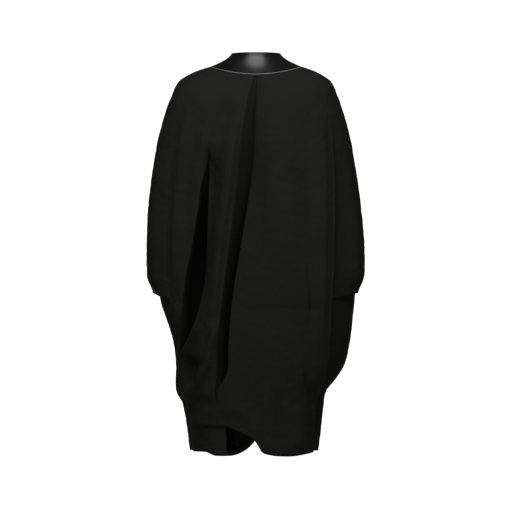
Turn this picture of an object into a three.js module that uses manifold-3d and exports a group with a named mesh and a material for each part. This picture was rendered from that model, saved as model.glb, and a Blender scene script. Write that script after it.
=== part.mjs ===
// Draped salon cape with wide kimono sleeves, a funnel collar of coated cloth and a snap tab
// at the front of the neck. Millimetres, +Z up. The origin is the centre of the neck opening at
// the height of the collar's seam at the centre of the back. The back faces -Y, the front faces +Y.
//
// The cloth is a body of horizontal rings. A place on it is an angle round the body and a level:
// angle 0 is the centre back, +90 the +X side, 180 the centre front, and the level is the drop in
// millimetres below the collar's seam at the centre back.

import * as THREE from 'three';
import Module from 'manifold-3d';
import { mergeVertices } from 'three/addons/utils/BufferGeometryUtils.js';

const wasm = await Module();
wasm.setup();

// ---------------------------------------------------------------- driving dimensions

// levels, from the collar's seam down
const SHOULDER_LEVEL = 140;
const CUFF_LEVEL = 596;
const HIP_LEVEL = 835;
const OUTER_HEM_LEVEL = 925;
const HEM_LEVEL = 1010;

// half widths and depths of the body of cloth
const BODY_HALF_WIDTH = 262;
const BACK_DEPTH = 163;
const FRONT_DEPTH = 182;
const SLEEVE_FULLNESS_LEFT = 32;
const SLEEVE_FULLNESS_RIGHT = 24;

// collar: its seam with the cloth, the knee where it turns upright, and its top edge
const SEAM_HALF_WIDTH = 122;
const SEAM_BACK = 92;
const SEAM_FRONT = 94;
const SEAM_SIDE_RISE = 22;
const SEAM_FRONT_DROP = 35;
const KNEE_HALF_WIDTH = 72;
const KNEE_BACK = 72;
const KNEE_FRONT = 74;
const KNEE_HEIGHT = 30;
const KNEE_SIDE_DROP = 0.35;
const TOP_HALF_WIDTH = 66;
const TOP_BACK = 69;
const TOP_FRONT = 70;
const TOP_HEIGHT = 56;
const TOP_FRONT_DROP = 27;
// its three runs are cut at these angles, and its ends stand apart at the front under the tab
const COLLAR_SPLIT = 135;
const COLLAR_CUT = 0.2;
const COLLAR_END_ANGLE = 175.8;
const COLLAR_STEP = 7.5;
const COLLAR_ROWS = 4;

// layers
const CLOTH = 3.0;
const FACING = 1.6;
const COLLAR_SKIN = 1.4;
const STIFFENER = 0.9;
const COLLAR_LINING = 1.1;
const LAYER_GAP = 0.45;
const SEAM_GAP = 0.6;
const PIPING_RADIUS = 1.4;

// back of the cape
const UNDERLAP_EDGE_X = -78;
const UNDERLAP_OVERLAP = 75;
const CUFF_FACING_DEPTH = 30;
const FRONT_FACING_CELLS = 2;

// fronts, which turn outwards about these lines
const FRONT_EDGE_GAP = 1.8;
const FLAP_WIDTH_AT_NECK = 86;
const FLAP_WIDTH = 92;
const FRONT_CORNER_RISE = 42;
const FRONT_CORNER_RADIUS = 95;

// neck tab and snaps
const TAB_ROOT_ANGLE = 200;
const TAB_TIP_ANGLE = 147;
const TAB_LOW = 0.82;
const TAB_HIGH = 0.24;
const TAB_SKIN = 1.4;
const TAB_LINING = 0.8;
const TAB_LINING_MARGIN = 0.01;
const TAB_TIP_START = 0.8;
const TAB_TIP_NARROWING = 0.55;
const TAB_COLUMNS = 14;
const SNAP_ANGLES = [168, 155];
const SNAP_SHARE = 0.53;
const SNAP_CAP_RADIUS = 6;
const SNAP_CAP_HEIGHT = 2.2;
const SNAP_FLANGE_RADIUS = 4.8;
const SNAP_FLANGE = 0.8;
const SNAP_SOCKET_HEIGHT = 2.0;
const SNAP_SOCKET_BORE = 2.8;
const SNAP_STUD_RADIUS = 1.9;
const SNAP_STUD_HEIGHT = 1.5;
const SNAP_SHANK_RADIUS = 1.3;
const SNAP_SHANK_CLEARANCE = 0.3;
const SNAP_SIDES = 16;
const SNAP_REACH = 20;

// hanger loop and care label
const LOOP_HALF_WIDTH = 26;
const LOOP_DROP = 46;
const LOOP_STRAP_WIDTH = 7;
const LOOP_STRAP_THICKNESS = 1.2;
const LOOP_CORNER = 13;
const LOOP_SEAT_SHARE = 0.97;
const LABEL_LEFT_X = 34;
const LABEL_RIGHT_X = 64;
const LABEL_TOP = 8;
const LABEL_BOTTOM = 34;
const LABEL_THICKNESS = 0.7;

const DEGREE = Math.PI / 180;
const mix = THREE.MathUtils.lerp;

// ---------------------------------------------------------------- materials

const blackCloth = { color: 0x1d1d1b, roughness: 0.92, metalness: 0 };
const facingCloth = { color: 0x191918, roughness: 0.95, metalness: 0 };
const coatedCloth = { color: 0x1b1c1e, roughness: 0.28, metalness: 0 };
const liningCloth = { color: 0x202020, roughness: 0.8, metalness: 0 };
const stiffenerFelt = { color: 0xd8d6cf, roughness: 0.95, metalness: 0 };
const pipingCloth = { color: 0xa9a59c, roughness: 0.7, metalness: 0 };
const snapMetal = { color: 0x2a2b2d, roughness: 0.35, metalness: 1 };
const labelCloth = { color: 0x2b2b2b, roughness: 0.85, metalness: 0 };

const cape = new THREE.Group();

function addPiece(name, geometry, finish) {
  geometry.computeVertexNormals();
  const mesh = new THREE.Mesh(geometry, new THREE.MeshStandardMaterial(finish));
  mesh.name = name;
  cape.add(mesh);
  return mesh;
}

// ---------------------------------------------------------------- smooth curves

// a smooth curve of one value against level, through [level, value] knots
function smoothCurve(knots) {
  const last = knots.length - 1;
  const slopeBetween = (a, b) => (knots[b][1] - knots[a][1]) / (knots[b][0] - knots[a][0]);
  const slopes = knots.map((knot, k) => slopeBetween(Math.max(k - 1, 0), Math.min(k + 1, last)));
  return (level) => {
    const at = THREE.MathUtils.clamp(level, knots[0][0], knots[last][0]);
    let k = 0;
    while (k < last - 1 && at > knots[k + 1][0]) k += 1;
    const span = knots[k + 1][0] - knots[k][0];
    const t = (at - knots[k][0]) / span;
    const rise = knots[k + 1][1] - knots[k][1];
    const bend = (1 - t) * (slopes[k] * span - rise) - t * (slopes[k + 1] * span - rise);
    return knots[k][1] + t * rise + t * (1 - t) * bend;
  };
}

// levels given as shares of the stretches between the named levels
const yoke = (share) => share * SHOULDER_LEVEL;
const upper = (share) => mix(SHOULDER_LEVEL, CUFF_LEVEL, share);
const lower = (share) => mix(CUFF_LEVEL, HIP_LEVEL, share);
const skirt = (share) => mix(HIP_LEVEL, HEM_LEVEL, share);
const wide = (share) => share * BODY_HALF_WIDTH;

// the left side is caught up at the hip, so the two sides fall differently
const halfWidthLeft = smoothCurve([
  [0, SEAM_HALF_WIDTH], [yoke(0.1), wide(0.573)], [yoke(0.23), wide(0.672)],
  [yoke(0.4), wide(0.771)], [yoke(0.61), wide(0.836)], [yoke(1), wide(0.9)],
  [upper(0.13), wide(0.947)], [upper(0.52), wide(1)], [upper(0.8), wide(1)],
  [upper(1), wide(0.965)], [lower(0.43), wide(0.84)], [lower(0.7), wide(0.795)],
  [lower(1), wide(0.785)], [skirt(0.2), wide(0.718)], [skirt(1), wide(0.652)],
]);
const halfWidthRight = smoothCurve([
  [0, SEAM_HALF_WIDTH], [yoke(0.1), wide(0.565)], [yoke(0.23), wide(0.656)],
  [yoke(0.4), wide(0.748)], [yoke(0.61), wide(0.809)], [yoke(1), wide(0.878)],
  [upper(0.13), wide(0.931)], [upper(0.52), wide(1.008)], [upper(0.8), wide(1.023)],
  [upper(1), wide(1)], [lower(0.43), wide(0.958)], [lower(0.7), wide(0.893)],
  [lower(0.86), wide(0.8)], [lower(1), wide(0.695)], [skirt(0.2), wide(0.668)],
  [skirt(1), wide(0.63)],
]);
const depthBack = smoothCurve([
  [0, SEAM_BACK], [yoke(0.23), BACK_DEPTH * 0.675], [yoke(0.61), BACK_DEPTH * 0.8],
  [upper(0.13), BACK_DEPTH * 0.914], [upper(0.8), BACK_DEPTH], [lower(0), BACK_DEPTH],
  [skirt(1), BACK_DEPTH * 0.91],
]);
const depthFront = smoothCurve([
  [0, SEAM_FRONT], [yoke(0.23), FRONT_DEPTH * 0.555], [yoke(0.61), FRONT_DEPTH * 0.582],
  [upper(1), FRONT_DEPTH * 0.769], [skirt(1), FRONT_DEPTH],
]);
// 2 is an ellipse; a larger number is a ring with a flatter back and front
const squareness = smoothCurve([[0, 2], [yoke(1), 2.4], [upper(0.8), 2.7], [skirt(1), 2.5]]);
const sideRise = smoothCurve([
  [0, SEAM_SIDE_RISE], [yoke(0.4), 42], [yoke(0.61), 42], [yoke(1), 25], [upper(0.13), 8],
  [upper(0.35), 0],
]);
const frontDrop = smoothCurve([
  [0, SEAM_FRONT_DROP], [yoke(0.23), 38], [yoke(1), 25], [upper(0.35), 3], [upper(0.52), 0],
]);
// the share of the sleeve's fullness at each level
const sleeveFullness = smoothCurve([
  [0, 0], [yoke(0.61), 0], [yoke(1), 0.3], [upper(0.3), 0.7], [upper(0.8), 1], [upper(1), 0.86],
]);

// ---------------------------------------------------------------- the body of cloth

function ringPoint(angle, level) {
  const across = Math.sin(angle * DEGREE);
  const along = Math.cos(angle * DEGREE);
  const power = 2 / squareness(level);
  const width = across < 0 ? halfWidthLeft(level) : halfWidthRight(level);
  const depth = along > 0 ? depthBack(level) : depthFront(level);
  const front = Math.max(-along, 0) ** 2;
  return new THREE.Vector3(
    Math.sign(across) * width * Math.abs(across) ** power,
    -Math.sign(along) * depth * Math.abs(along) ** power,
    -level + sideRise(level) * across ** 2 - frontDrop(level) * front,
  );
}

// the outward normal of any surface that is a function of an angle and a second value
function outwardNormal(surface, angle, second, angleStep, secondStep) {
  const round = surface(angle + angleStep, second).sub(surface(angle - angleStep, second));
  const down = surface(angle, second + secondStep).sub(surface(angle, second - secondStep));
  return down.cross(round).normalize();
}

// the angle at which the ring at a level lies at x, on the back
function angleAtX(x, level) {
  const width = x < 0 ? halfWidthLeft(level) : halfWidthRight(level);
  const share = Math.min(Math.abs(x) / width, 0.995);
  return Math.sign(x) * Math.asin(share ** (squareness(level) / 2)) / DEGREE;
}

// how far down the ring system a distance measured on the cloth from the collar's seam lies
function levelBelowSeam(angle, distance) {
  const step = 0.5;
  const perLevel = ringPoint(angle, step).distanceTo(ringPoint(angle, 0)) / step;
  return distance / perLevel;
}

// A closed sheet of even thickness: corner(i, j) gives a point on its outer face and the outward
// normal there, i running round the body and j running down.
function closedSheet(columns, rows, corner, inset, thickness) {
  const positions = [];
  for (const depth of [inset, inset + thickness]) {
    for (let i = 0; i <= columns; i += 1) {
      for (let j = 0; j <= rows; j += 1) {
        const { point, normal } = corner(i, j);
        positions.push(...point.clone().addScaledVector(normal, -depth).toArray());
      }
    }
  }
  const at = (face, i, j) => (face * (columns + 1) + i) * (rows + 1) + j;
  const index = [];
  const quad = (a, b, c, d) => index.push(a, b, c, a, c, d);
  for (let i = 0; i < columns; i += 1) {
    for (let j = 0; j < rows; j += 1) {
      quad(at(0, i, j), at(0, i, j + 1), at(0, i + 1, j + 1), at(0, i + 1, j));
      quad(at(1, i, j), at(1, i + 1, j), at(1, i + 1, j + 1), at(1, i, j + 1));
    }
    quad(at(0, i, 0), at(0, i + 1, 0), at(1, i + 1, 0), at(1, i, 0));
    quad(at(0, i, rows), at(1, i, rows), at(1, i + 1, rows), at(0, i + 1, rows));
  }
  for (let j = 0; j < rows; j += 1) {
    quad(at(0, 0, j), at(1, 0, j), at(1, 0, j + 1), at(0, 0, j + 1));
    quad(at(0, columns, j), at(0, columns, j + 1), at(1, columns, j + 1), at(1, columns, j));
  }
  const geometry = new THREE.BufferGeometry();
  geometry.setAttribute('position', new THREE.Float32BufferAttribute(positions, 3));
  geometry.setIndex(index);
  return geometry;
}

// A panel of cloth between rulings, each a function from level to angle. top and hem are
// functions of x that give the levels of its ends, and levels lists the rows between them.
function clothPanel({ rulings, levels, top, hem, fullness = () => 0, inset = 0, thickness = CLOTH }) {
  const surface = (angle, level) => {
    const point = ringPoint(angle, level);
    point.x += Math.sign(point.x) * fullness(angle, level);
    return point;
  };
  const corner = (i, j) => {
    let level = levels[j - 1];
    if (j === 0) level = top(rulings[i](levels[0]), levels[0]);
    if (j > levels.length) {
      const lastLevel = levels[levels.length - 1];
      level = hem(ringPoint(rulings[i](lastLevel), lastLevel).x);
    }
    const angle = rulings[i](level);
    return { point: surface(angle, level), normal: outwardNormal(surface, angle, level, 0.5, 1) };
  };
  return closedSheet(rulings.length - 1, levels.length + 1, corner, inset, thickness);
}

// rulings in even steps of angle from one edge of a panel to the other
function rulingsBetween(first, last, cells) {
  const rulings = [];
  for (let i = 0; i <= cells; i += 1) {
    rulings.push((level) => mix(first(level), last(level), i / cells));
  }
  return rulings;
}

// the same ruling moved round the body by a distance along the ring
function shifted(ruling, distance) {
  return (level) => {
    const angle = ruling(level);
    const perDegree = ringPoint(angle + 0.5, level).distanceTo(ringPoint(angle - 0.5, level));
    return angle + distance / perDegree;
  };
}

const flat = (level) => () => level;

// ---------------------------------------------------------------- seam lines of the cape

// the sleeves meet the back along these lines, and the fronts along their mirror images
const sleeveSeamRight = smoothCurve([
  [0, SEAM_HALF_WIDTH * 0.82], [yoke(0.1), wide(0.477)], [yoke(0.23), wide(0.565)],
  [yoke(0.4), wide(0.649)], [yoke(0.61), wide(0.702)], [yoke(1), wide(0.748)],
  [upper(0.3), wide(0.79)], [upper(0.8), wide(0.782)], [upper(1), wide(0.763)],
  [lower(0.43), wide(0.744)], [lower(0.85), wide(0.702)], [lower(1), wide(0.641)],
  [skirt(0.2), wide(0.615)], [skirt(1), wide(0.573)],
]);
const sleeveSeamLeft = smoothCurve([
  [0, SEAM_HALF_WIDTH * 0.82], [yoke(0.1), wide(0.477)], [yoke(0.23), wide(0.573)],
  [yoke(0.4), wide(0.664)], [yoke(0.61), wide(0.725)], [yoke(1), wide(0.786)],
  [upper(0.3), wide(0.863)], [upper(0.8), wide(0.885)], [upper(1), wide(0.847)],
  [lower(0.43), wide(0.744)], [lower(0.7), wide(0.71)], [lower(1), wide(0.695)],
  [skirt(0.2), wide(0.641)], [skirt(1), wide(0.58)],
]);
// the inverted pleat opens under the collar and drifts to the left on its way down
const pleatLeftX = smoothCurve([
  [0, -2], [yoke(0.43), -21], [upper(0.07), -38], [upper(0.47), -58], [lower(0.07), -91],
  [lower(0.5), -103], [lower(1), -106], [skirt(1), -108],
]);
const pleatWidth = smoothCurve([
  [0, 4], [yoke(0.43), 22], [upper(0.2), 38], [upper(0.56), 33], [upper(1), 27],
  [lower(0.7), 24], [lower(1), 2], [skirt(1), 2],
]);
const pleatRightX = (level) => pleatLeftX(level) + pleatWidth(level);
// the line of the underlap's free edge, carried up inside the right half of the back
const underlapX = smoothCurve([
  [0, 24], [upper(0.2), 34], [upper(1), -40], [lower(0.7), -58], [lower(1), UNDERLAP_EDGE_X],
  [skirt(1), UNDERLAP_EDGE_X],
]);

const onBack = (xAt) => (level) => angleAtX(xAt(level), level);
const sleeveBackLeft = onBack((level) => -sleeveSeamLeft(level));
const sleeveBackRight = onBack(sleeveSeamRight);
const pleatLeft = onBack(pleatLeftX);
const pleatRight = onBack(pleatRightX);
const underlapEdge = onBack(underlapX);
const sleeveFrontLeft = (level) => -180 - sleeveBackLeft(level);
const sleeveFrontRight = (level) => 180 - sleeveBackRight(level);
const flapX = smoothCurve([[0, FLAP_WIDTH_AT_NECK], [yoke(0.3), FLAP_WIDTH], [skirt(1), FLAP_WIDTH]]);
const flapSeamRight = (level) => 180 - angleAtX(flapX(level), level);
const flapSeamLeft = (level) => -180 - angleAtX(-flapX(level), level);
const frontTrim = (FRONT_EDGE_GAP - SEAM_GAP) / 2;
const frontEdgeRight = shifted(flat(180), -frontTrim);
const frontEdgeLeft = shifted(flat(-180), frontTrim);

// ---------------------------------------------------------------- body panels

const YOKE_LEVELS = [yoke(0.1), yoke(0.23), yoke(0.4), yoke(0.61), yoke(1)];
const UPPER_LEVELS = [upper(0.15), upper(0.35), upper(0.6), upper(0.85)];
const LOWER_LEVELS = [lower(0.2), lower(0.45), lower(0.7), lower(0.86), lower(1)];
const BODY_LEVELS = [
  ...YOKE_LEVELS, ...UPPER_LEVELS, CUFF_LEVEL, ...LOWER_LEVELS, skirt(0.2),
];

const pipingOffset = 2 * LAYER_GAP + PIPING_RADIUS;
const seamTop = (angle) => levelBelowSeam(angle, 2 * pipingOffset);
const hemStraight = () => HEM_LEVEL;
const outerHemLeft = () => OUTER_HEM_LEVEL;

// the back's hem runs level to the underlap's edge, drops across it, and turns down to the hem
const outerHem = smoothCurve([
  [UNDERLAP_EDGE_X - 30, OUTER_HEM_LEVEL], [UNDERLAP_EDGE_X, OUTER_HEM_LEVEL],
  [-20, OUTER_HEM_LEVEL + 25], [8, OUTER_HEM_LEVEL + 44], [30, OUTER_HEM_LEVEL + 72],
  [56, HEM_LEVEL], [100, HEM_LEVEL],
]);

// each front has a rounded lower corner at the centre
function frontHem(x) {
  const share = THREE.MathUtils.clamp(1 - Math.abs(x) / FRONT_CORNER_RADIUS, 0, 1);
  return HEM_LEVEL - FRONT_CORNER_RISE * share ** 2;
}

// every layer of the back uses the same rulings, so the layers lie parallel
const LEFT_CELLS = 6;
const PLEAT_CELLS = 2;
const backEdges = [
  { from: sleeveBackLeft, to: pleatLeft, cells: LEFT_CELLS },
  { from: pleatLeft, to: pleatRight, cells: PLEAT_CELLS },
  { from: pleatRight, to: underlapEdge, cells: 1 },
  { from: underlapEdge, to: sleeveBackRight, cells: 7 },
];
const backRulings = [sleeveBackLeft];
for (const { from, to, cells } of backEdges) {
  backRulings.push(...rulingsBetween(from, to, cells).slice(1));
}
const half = SEAM_GAP / 2;

// a run of the back's rulings, with both outer edges trimmed by half a seam gap
function backRun(first, last) {
  const run = backRulings.slice(first, last + 1);
  run[0] = shifted(run[0], half);
  run[run.length - 1] = shifted(run[run.length - 1], -half);
  return run;
}

// a panel's rulings from one seam to another, trimmed the same way
function panelRun(from, to, cells) {
  return rulingsBetween(shifted(from, half), shifted(to, -half), cells);
}

addPiece('back_panel_left', clothPanel({
  rulings: backRun(0, LEFT_CELLS), levels: BODY_LEVELS, top: seamTop, hem: outerHemLeft,
}), blackCloth);
addPiece('back_panel_right', clothPanel({
  rulings: backRun(LEFT_CELLS + PLEAT_CELLS, backRulings.length - 1),
  levels: BODY_LEVELS, top: seamTop, hem: outerHem,
}), blackCloth);
addPiece('pleat_underlay', clothPanel({
  rulings: backRun(LEFT_CELLS - 1, LEFT_CELLS + PLEAT_CELLS + 1),
  levels: BODY_LEVELS.filter((level) => level < lower(0.95)),
  top: seamTop, hem: flat(lower(1)), inset: CLOTH + LAYER_GAP,
}), blackCloth);
addPiece('back_underlap', clothPanel({
  rulings: backRun(0, LEFT_CELLS + PLEAT_CELLS + 1),
  levels: [skirt(0.2), OUTER_HEM_LEVEL],
  top: flat(OUTER_HEM_LEVEL - UNDERLAP_OVERLAP), hem: hemStraight, inset: CLOTH + LAYER_GAP,
}), blackCloth);

// ---------------------------------------------------------------- sides, sleeves and fronts

const sides = [
  {
    side: 'left', fullness: SLEEVE_FULLNESS_LEFT,
    sleeve: [sleeveFrontLeft, sleeveBackLeft], front: [flapSeamLeft, sleeveFrontLeft],
    flap: [frontEdgeLeft, flapSeamLeft],
  },
  {
    side: 'right', fullness: SLEEVE_FULLNESS_RIGHT,
    sleeve: [sleeveBackRight, sleeveFrontRight], front: [sleeveFrontRight, flapSeamRight],
    flap: [flapSeamRight, frontEdgeRight],
  },
];

for (const { side, fullness, sleeve, front, flap } of sides) {
  // a sleeve stands out most half way between its two seams
  const bulge = (angle, level) => {
    const share = (angle - sleeve[0](level)) / (sleeve[1](level) - sleeve[0](level));
    return fullness * sleeveFullness(level) * Math.sin(Math.PI * THREE.MathUtils.clamp(share, 0, 1));
  };
  const sleeveRun = panelRun(...sleeve, 8);
  addPiece(`sleeve_${side}`, clothPanel({
    rulings: sleeveRun, levels: [...YOKE_LEVELS, ...UPPER_LEVELS, CUFF_LEVEL - CUFF_FACING_DEPTH],
    top: seamTop, hem: flat(CUFF_LEVEL), fullness: bulge,
  }), blackCloth);
  addPiece(`cuff_facing_${side}`, clothPanel({
    rulings: sleeveRun.slice(1, -1), levels: [CUFF_LEVEL - CUFF_FACING_DEPTH / 2],
    top: flat(CUFF_LEVEL - CUFF_FACING_DEPTH), hem: flat(CUFF_LEVEL), fullness: bulge,
    inset: CLOTH + LAYER_GAP, thickness: FACING,
  }), facingCloth);
  addPiece(`side_panel_${side}`, clothPanel({
    rulings: panelRun(...sleeve, 6), levels: [...LOWER_LEVELS, skirt(0.2), skirt(0.6)],
    top: flat(CUFF_LEVEL + 2 * SEAM_GAP), hem: hemStraight,
  }), blackCloth);
  addPiece(`front_panel_${side}`, clothPanel({
    rulings: panelRun(...front, 5), levels: BODY_LEVELS, top: seamTop, hem: hemStraight,
  }), blackCloth);
  const flapRun = panelRun(...flap, 4);
  addPiece(`front_flap_${side}`, clothPanel({
    rulings: flapRun, levels: BODY_LEVELS, top: seamTop, hem: frontHem,
  }), blackCloth);
  const facingRun = side === 'left' ? flapRun.slice(0, FRONT_FACING_CELLS + 1)
    : flapRun.slice(-FRONT_FACING_CELLS - 1);
  addPiece(`front_facing_${side}`, clothPanel({
    rulings: facingRun, levels: BODY_LEVELS, top: seamTop, hem: frontHem,
    inset: CLOTH + LAYER_GAP, thickness: FACING,
  }), facingCloth);
}

// ---------------------------------------------------------------- collar

// a place on the collar: an angle round the neck and a share from its top edge (0) to its seam (1)
function collarPoint(angle, share) {
  const across = Math.sin(angle * DEGREE);
  const along = Math.cos(angle * DEGREE);
  const front = Math.max(-along, 0) ** 2;
  const ring = (width, back, fore, height) => new THREE.Vector3(
    width * across, -(along > 0 ? back : fore) * along, height,
  );
  const top = ring(TOP_HALF_WIDTH, TOP_BACK, TOP_FRONT, TOP_HEIGHT - TOP_FRONT_DROP * front);
  const seamHeight = SEAM_SIDE_RISE * across ** 2 - SEAM_FRONT_DROP * front;
  const seam = ring(SEAM_HALF_WIDTH, SEAM_BACK, SEAM_FRONT, seamHeight);
  const kneeHeight = seamHeight + KNEE_HEIGHT * (1 - KNEE_SIDE_DROP * across ** 2);
  const knee = ring(KNEE_HALF_WIDTH, KNEE_BACK, KNEE_FRONT, kneeHeight);
  return new THREE.QuadraticBezierCurve3(top, knee, seam).getPoint(share);
}

const collarNormal = (angle, share) => outwardNormal(collarPoint, angle, share, 0.5, 0.02);

function collarSheet({ from, to, columns, shares, inset, thickness }) {
  const corner = (i, j) => {
    const angle = mix(from, to, i / columns);
    const [low, high] = typeof shares === 'function' ? shares(i / columns) : shares;
    const share = mix(low, high, j / COLLAR_ROWS);
    return { point: collarPoint(angle, share), normal: collarNormal(angle, share) };
  };
  const depthAt = typeof inset === 'function' ? inset : () => inset;
  const offset = (i, j) => {
    const { point, normal } = corner(i, j);
    return { point: point.addScaledVector(normal, -depthAt(i / columns)), normal };
  };
  return closedSheet(columns, COLLAR_ROWS, offset, 0, thickness);
}

const collarRuns = [
  { part: 'left', from: -COLLAR_END_ANGLE, to: -COLLAR_SPLIT - COLLAR_CUT },
  { part: 'back', from: -COLLAR_SPLIT + COLLAR_CUT, to: COLLAR_SPLIT - COLLAR_CUT },
  { part: 'right', from: COLLAR_SPLIT + COLLAR_CUT, to: COLLAR_END_ANGLE },
];
const stiffenerInset = COLLAR_SKIN + LAYER_GAP;
const liningInset = stiffenerInset + STIFFENER + LAYER_GAP;
const collarLayers = [
  { name: 'collar', inset: 0, thickness: COLLAR_SKIN, shares: [0, 1], finish: coatedCloth },
  {
    name: 'collar_stiffener', inset: stiffenerInset, thickness: STIFFENER, shares: [0.06, 0.92],
    finish: stiffenerFelt,
  },
  {
    name: 'collar_lining', inset: liningInset, thickness: COLLAR_LINING, shares: [0.01, 0.98],
    finish: liningCloth,
  },
];

// ---------------------------------------------------------------- snaps

function toManifold(geometry) {
  const bare = geometry.clone();
  bare.deleteAttribute('normal');
  bare.deleteAttribute('uv');
  const merged = mergeVertices(bare, 1e-4);
  return new wasm.Manifold(new wasm.Mesh({
    numProp: 3,
    vertProperties: new Float32Array(merged.attributes.position.array),
    triVerts: new Uint32Array(merged.index.array),
  }));
}

function toGeometry(solid) {
  const mesh = solid.getMesh();
  const geometry = new THREE.BufferGeometry();
  geometry.setAttribute('position', new THREE.Float32BufferAttribute(mesh.vertProperties, 3));
  geometry.setIndex(Array.from(mesh.triVerts));
  return geometry;
}

const UP = new THREE.Vector3(0, 1, 0);

// turns a geometry made along +Y so that it stands on the collar at a snap, pointing outwards
function seatAtSnap(geometry, angle) {
  const normal = collarNormal(angle, SNAP_SHARE);
  const turn = new THREE.Quaternion().setFromUnitVectors(UP, normal);
  geometry.applyQuaternion(turn);
  const point = collarPoint(angle, SNAP_SHARE);
  return geometry.translate(point.x, point.y, point.z);
}

// a round piece from a profile of [radius, height] points that starts and ends on the axis,
// or closes on itself
function turned(profile) {
  return new THREE.LatheGeometry(profile.map(([r, h]) => new THREE.Vector2(r, h)), SNAP_SIDES);
}

function drillForSnaps(geometry) {
  let solid = toManifold(geometry);
  const radius = SNAP_SHANK_RADIUS + SNAP_SHANK_CLEARANCE;
  for (const angle of SNAP_ANGLES) {
    const drill = new THREE.CylinderGeometry(radius, radius, SNAP_REACH, SNAP_SIDES);
    solid = solid.subtract(toManifold(seatAtSnap(drill, angle)));
  }
  return toGeometry(solid);
}

for (const { name, inset, thickness, shares, finish } of collarLayers) {
  for (const { part, from, to } of collarRuns) {
    const columns = Math.round((to - from) / COLLAR_STEP);
    let sheet = collarSheet({ from, to, columns, shares, inset, thickness });
    if (part === 'right') sheet = drillForSnaps(sheet);
    addPiece(`${name}_${part}`, sheet, finish);
  }
}

// the piping lies in the groove between the collar and the cloth
function pipingLine(from, to) {
  const points = [];
  const steps = Math.round((to - from) / COLLAR_STEP);
  for (let k = 0; k <= steps; k += 1) {
    const angle = mix(from, to, k / steps);
    const level = levelBelowSeam(angle, pipingOffset);
    const normal = outwardNormal(ringPoint, angle, level, 0.5, 0.5);
    points.push(ringPoint(angle, level).addScaledVector(normal, -PIPING_RADIUS));
  }
  return new THREE.CatmullRomCurve3(points);
}

for (const { part, from, to } of collarRuns) {
  const section = new THREE.Shape();
  section.absarc(0, 0, PIPING_RADIUS, 0, 2 * Math.PI);
  const piping = new THREE.ExtrudeGeometry(section, {
    steps: Math.round((to - from) / COLLAR_STEP), curveSegments: 4, bevelEnabled: false,
    extrudePath: pipingLine(from, to),
  });
  addPiece(`piping_${part}`, piping, pipingCloth);
}

// ---------------------------------------------------------------- neck tab

// the snaps' stack, measured outwards from the collar's skin
const studBase = LAYER_GAP;
const studFlangeTop = studBase + SNAP_FLANGE;
const socketBase = studFlangeTop + LAYER_GAP;
const socketTop = socketBase + SNAP_SOCKET_HEIGHT;
const tabLiningBase = socketTop + LAYER_GAP;
const tabSkinBase = tabLiningBase + TAB_LINING + LAYER_GAP;
const capBase = tabSkinBase + TAB_SKIN + LAYER_GAP;

// the tab lies close to the collar at its root and rises over the snaps
function tabLift(share) {
  return mix(LAYER_GAP - tabLiningBase, 0, THREE.MathUtils.smoothstep(share, 0, 0.5));
}
// its tip is rounded
function tabShares(margin) {
  return (share) => {
    const past = THREE.MathUtils.clamp((share - TAB_TIP_START) / (1 - TAB_TIP_START), 0, 0.98);
    const narrowing = 1 - TAB_TIP_NARROWING * (1 - Math.sqrt(1 - past ** 2));
    const middle = (TAB_LOW + TAB_HIGH) / 2;
    const reach = (TAB_LOW - TAB_HIGH) / 2 * narrowing - margin;
    return [middle - reach, middle + reach];
  };
}
const tabLayers = [
  { name: 'neck_tab', base: tabSkinBase, thickness: TAB_SKIN, margin: 0, finish: coatedCloth },
  {
    name: 'neck_tab_lining', base: tabLiningBase, thickness: TAB_LINING,
    margin: TAB_LINING_MARGIN, finish: liningCloth,
  },
];
for (const { name, base, thickness, margin, finish } of tabLayers) {
  const sheet = collarSheet({
    from: TAB_TIP_ANGLE, to: TAB_ROOT_ANGLE, columns: TAB_COLUMNS, shares: tabShares(margin),
    inset: (share) => -(base + thickness + tabLift(1 - share)), thickness,
  });
  addPiece(name, drillForSnaps(sheet), finish);
}

const liningInside = -(liningInset + COLLAR_LINING);
SNAP_ANGLES.forEach((angle, number) => {
  const place = (name, profile) => {
    addPiece(`${name}_${number + 1}`, seatAtSnap(turned(profile), angle), snapMetal);
  };
  const capTop = capBase + SNAP_CAP_HEIGHT;
  place('snap_cap', [
    [0, tabLiningBase - LAYER_GAP / 2], [SNAP_SHANK_RADIUS, tabLiningBase - LAYER_GAP / 2],
    [SNAP_SHANK_RADIUS, capBase], [SNAP_CAP_RADIUS, capBase],
    [SNAP_CAP_RADIUS, capBase + 0.4 * SNAP_CAP_HEIGHT],
    [0.75 * SNAP_CAP_RADIUS, capTop - 0.15 * SNAP_CAP_HEIGHT],
    [0.4 * SNAP_CAP_RADIUS, capTop], [0, capTop],
  ]);
  place('snap_socket', [
    [SNAP_SOCKET_BORE, socketBase], [SNAP_FLANGE_RADIUS, socketBase],
    [SNAP_FLANGE_RADIUS, socketTop], [SNAP_SOCKET_BORE, socketTop], [SNAP_SOCKET_BORE, socketBase],
  ]);
  place('snap_stud', [
    [0, liningInside], [SNAP_SHANK_RADIUS, liningInside], [SNAP_SHANK_RADIUS, studBase],
    [SNAP_FLANGE_RADIUS, studBase], [SNAP_FLANGE_RADIUS, studFlangeTop],
    [SNAP_STUD_RADIUS, studFlangeTop], [SNAP_STUD_RADIUS, studFlangeTop + SNAP_STUD_HEIGHT],
    [0, studFlangeTop + SNAP_STUD_HEIGHT],
  ]);
  const postTop = liningInside - LAYER_GAP;
  const postBottom = postTop - SNAP_FLANGE;
  place('snap_post', [
    [0, postBottom], [SNAP_FLANGE_RADIUS, postBottom], [SNAP_FLANGE_RADIUS, postTop], [0, postTop],
  ]);
});

// ---------------------------------------------------------------- hanger loop and care label

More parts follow.
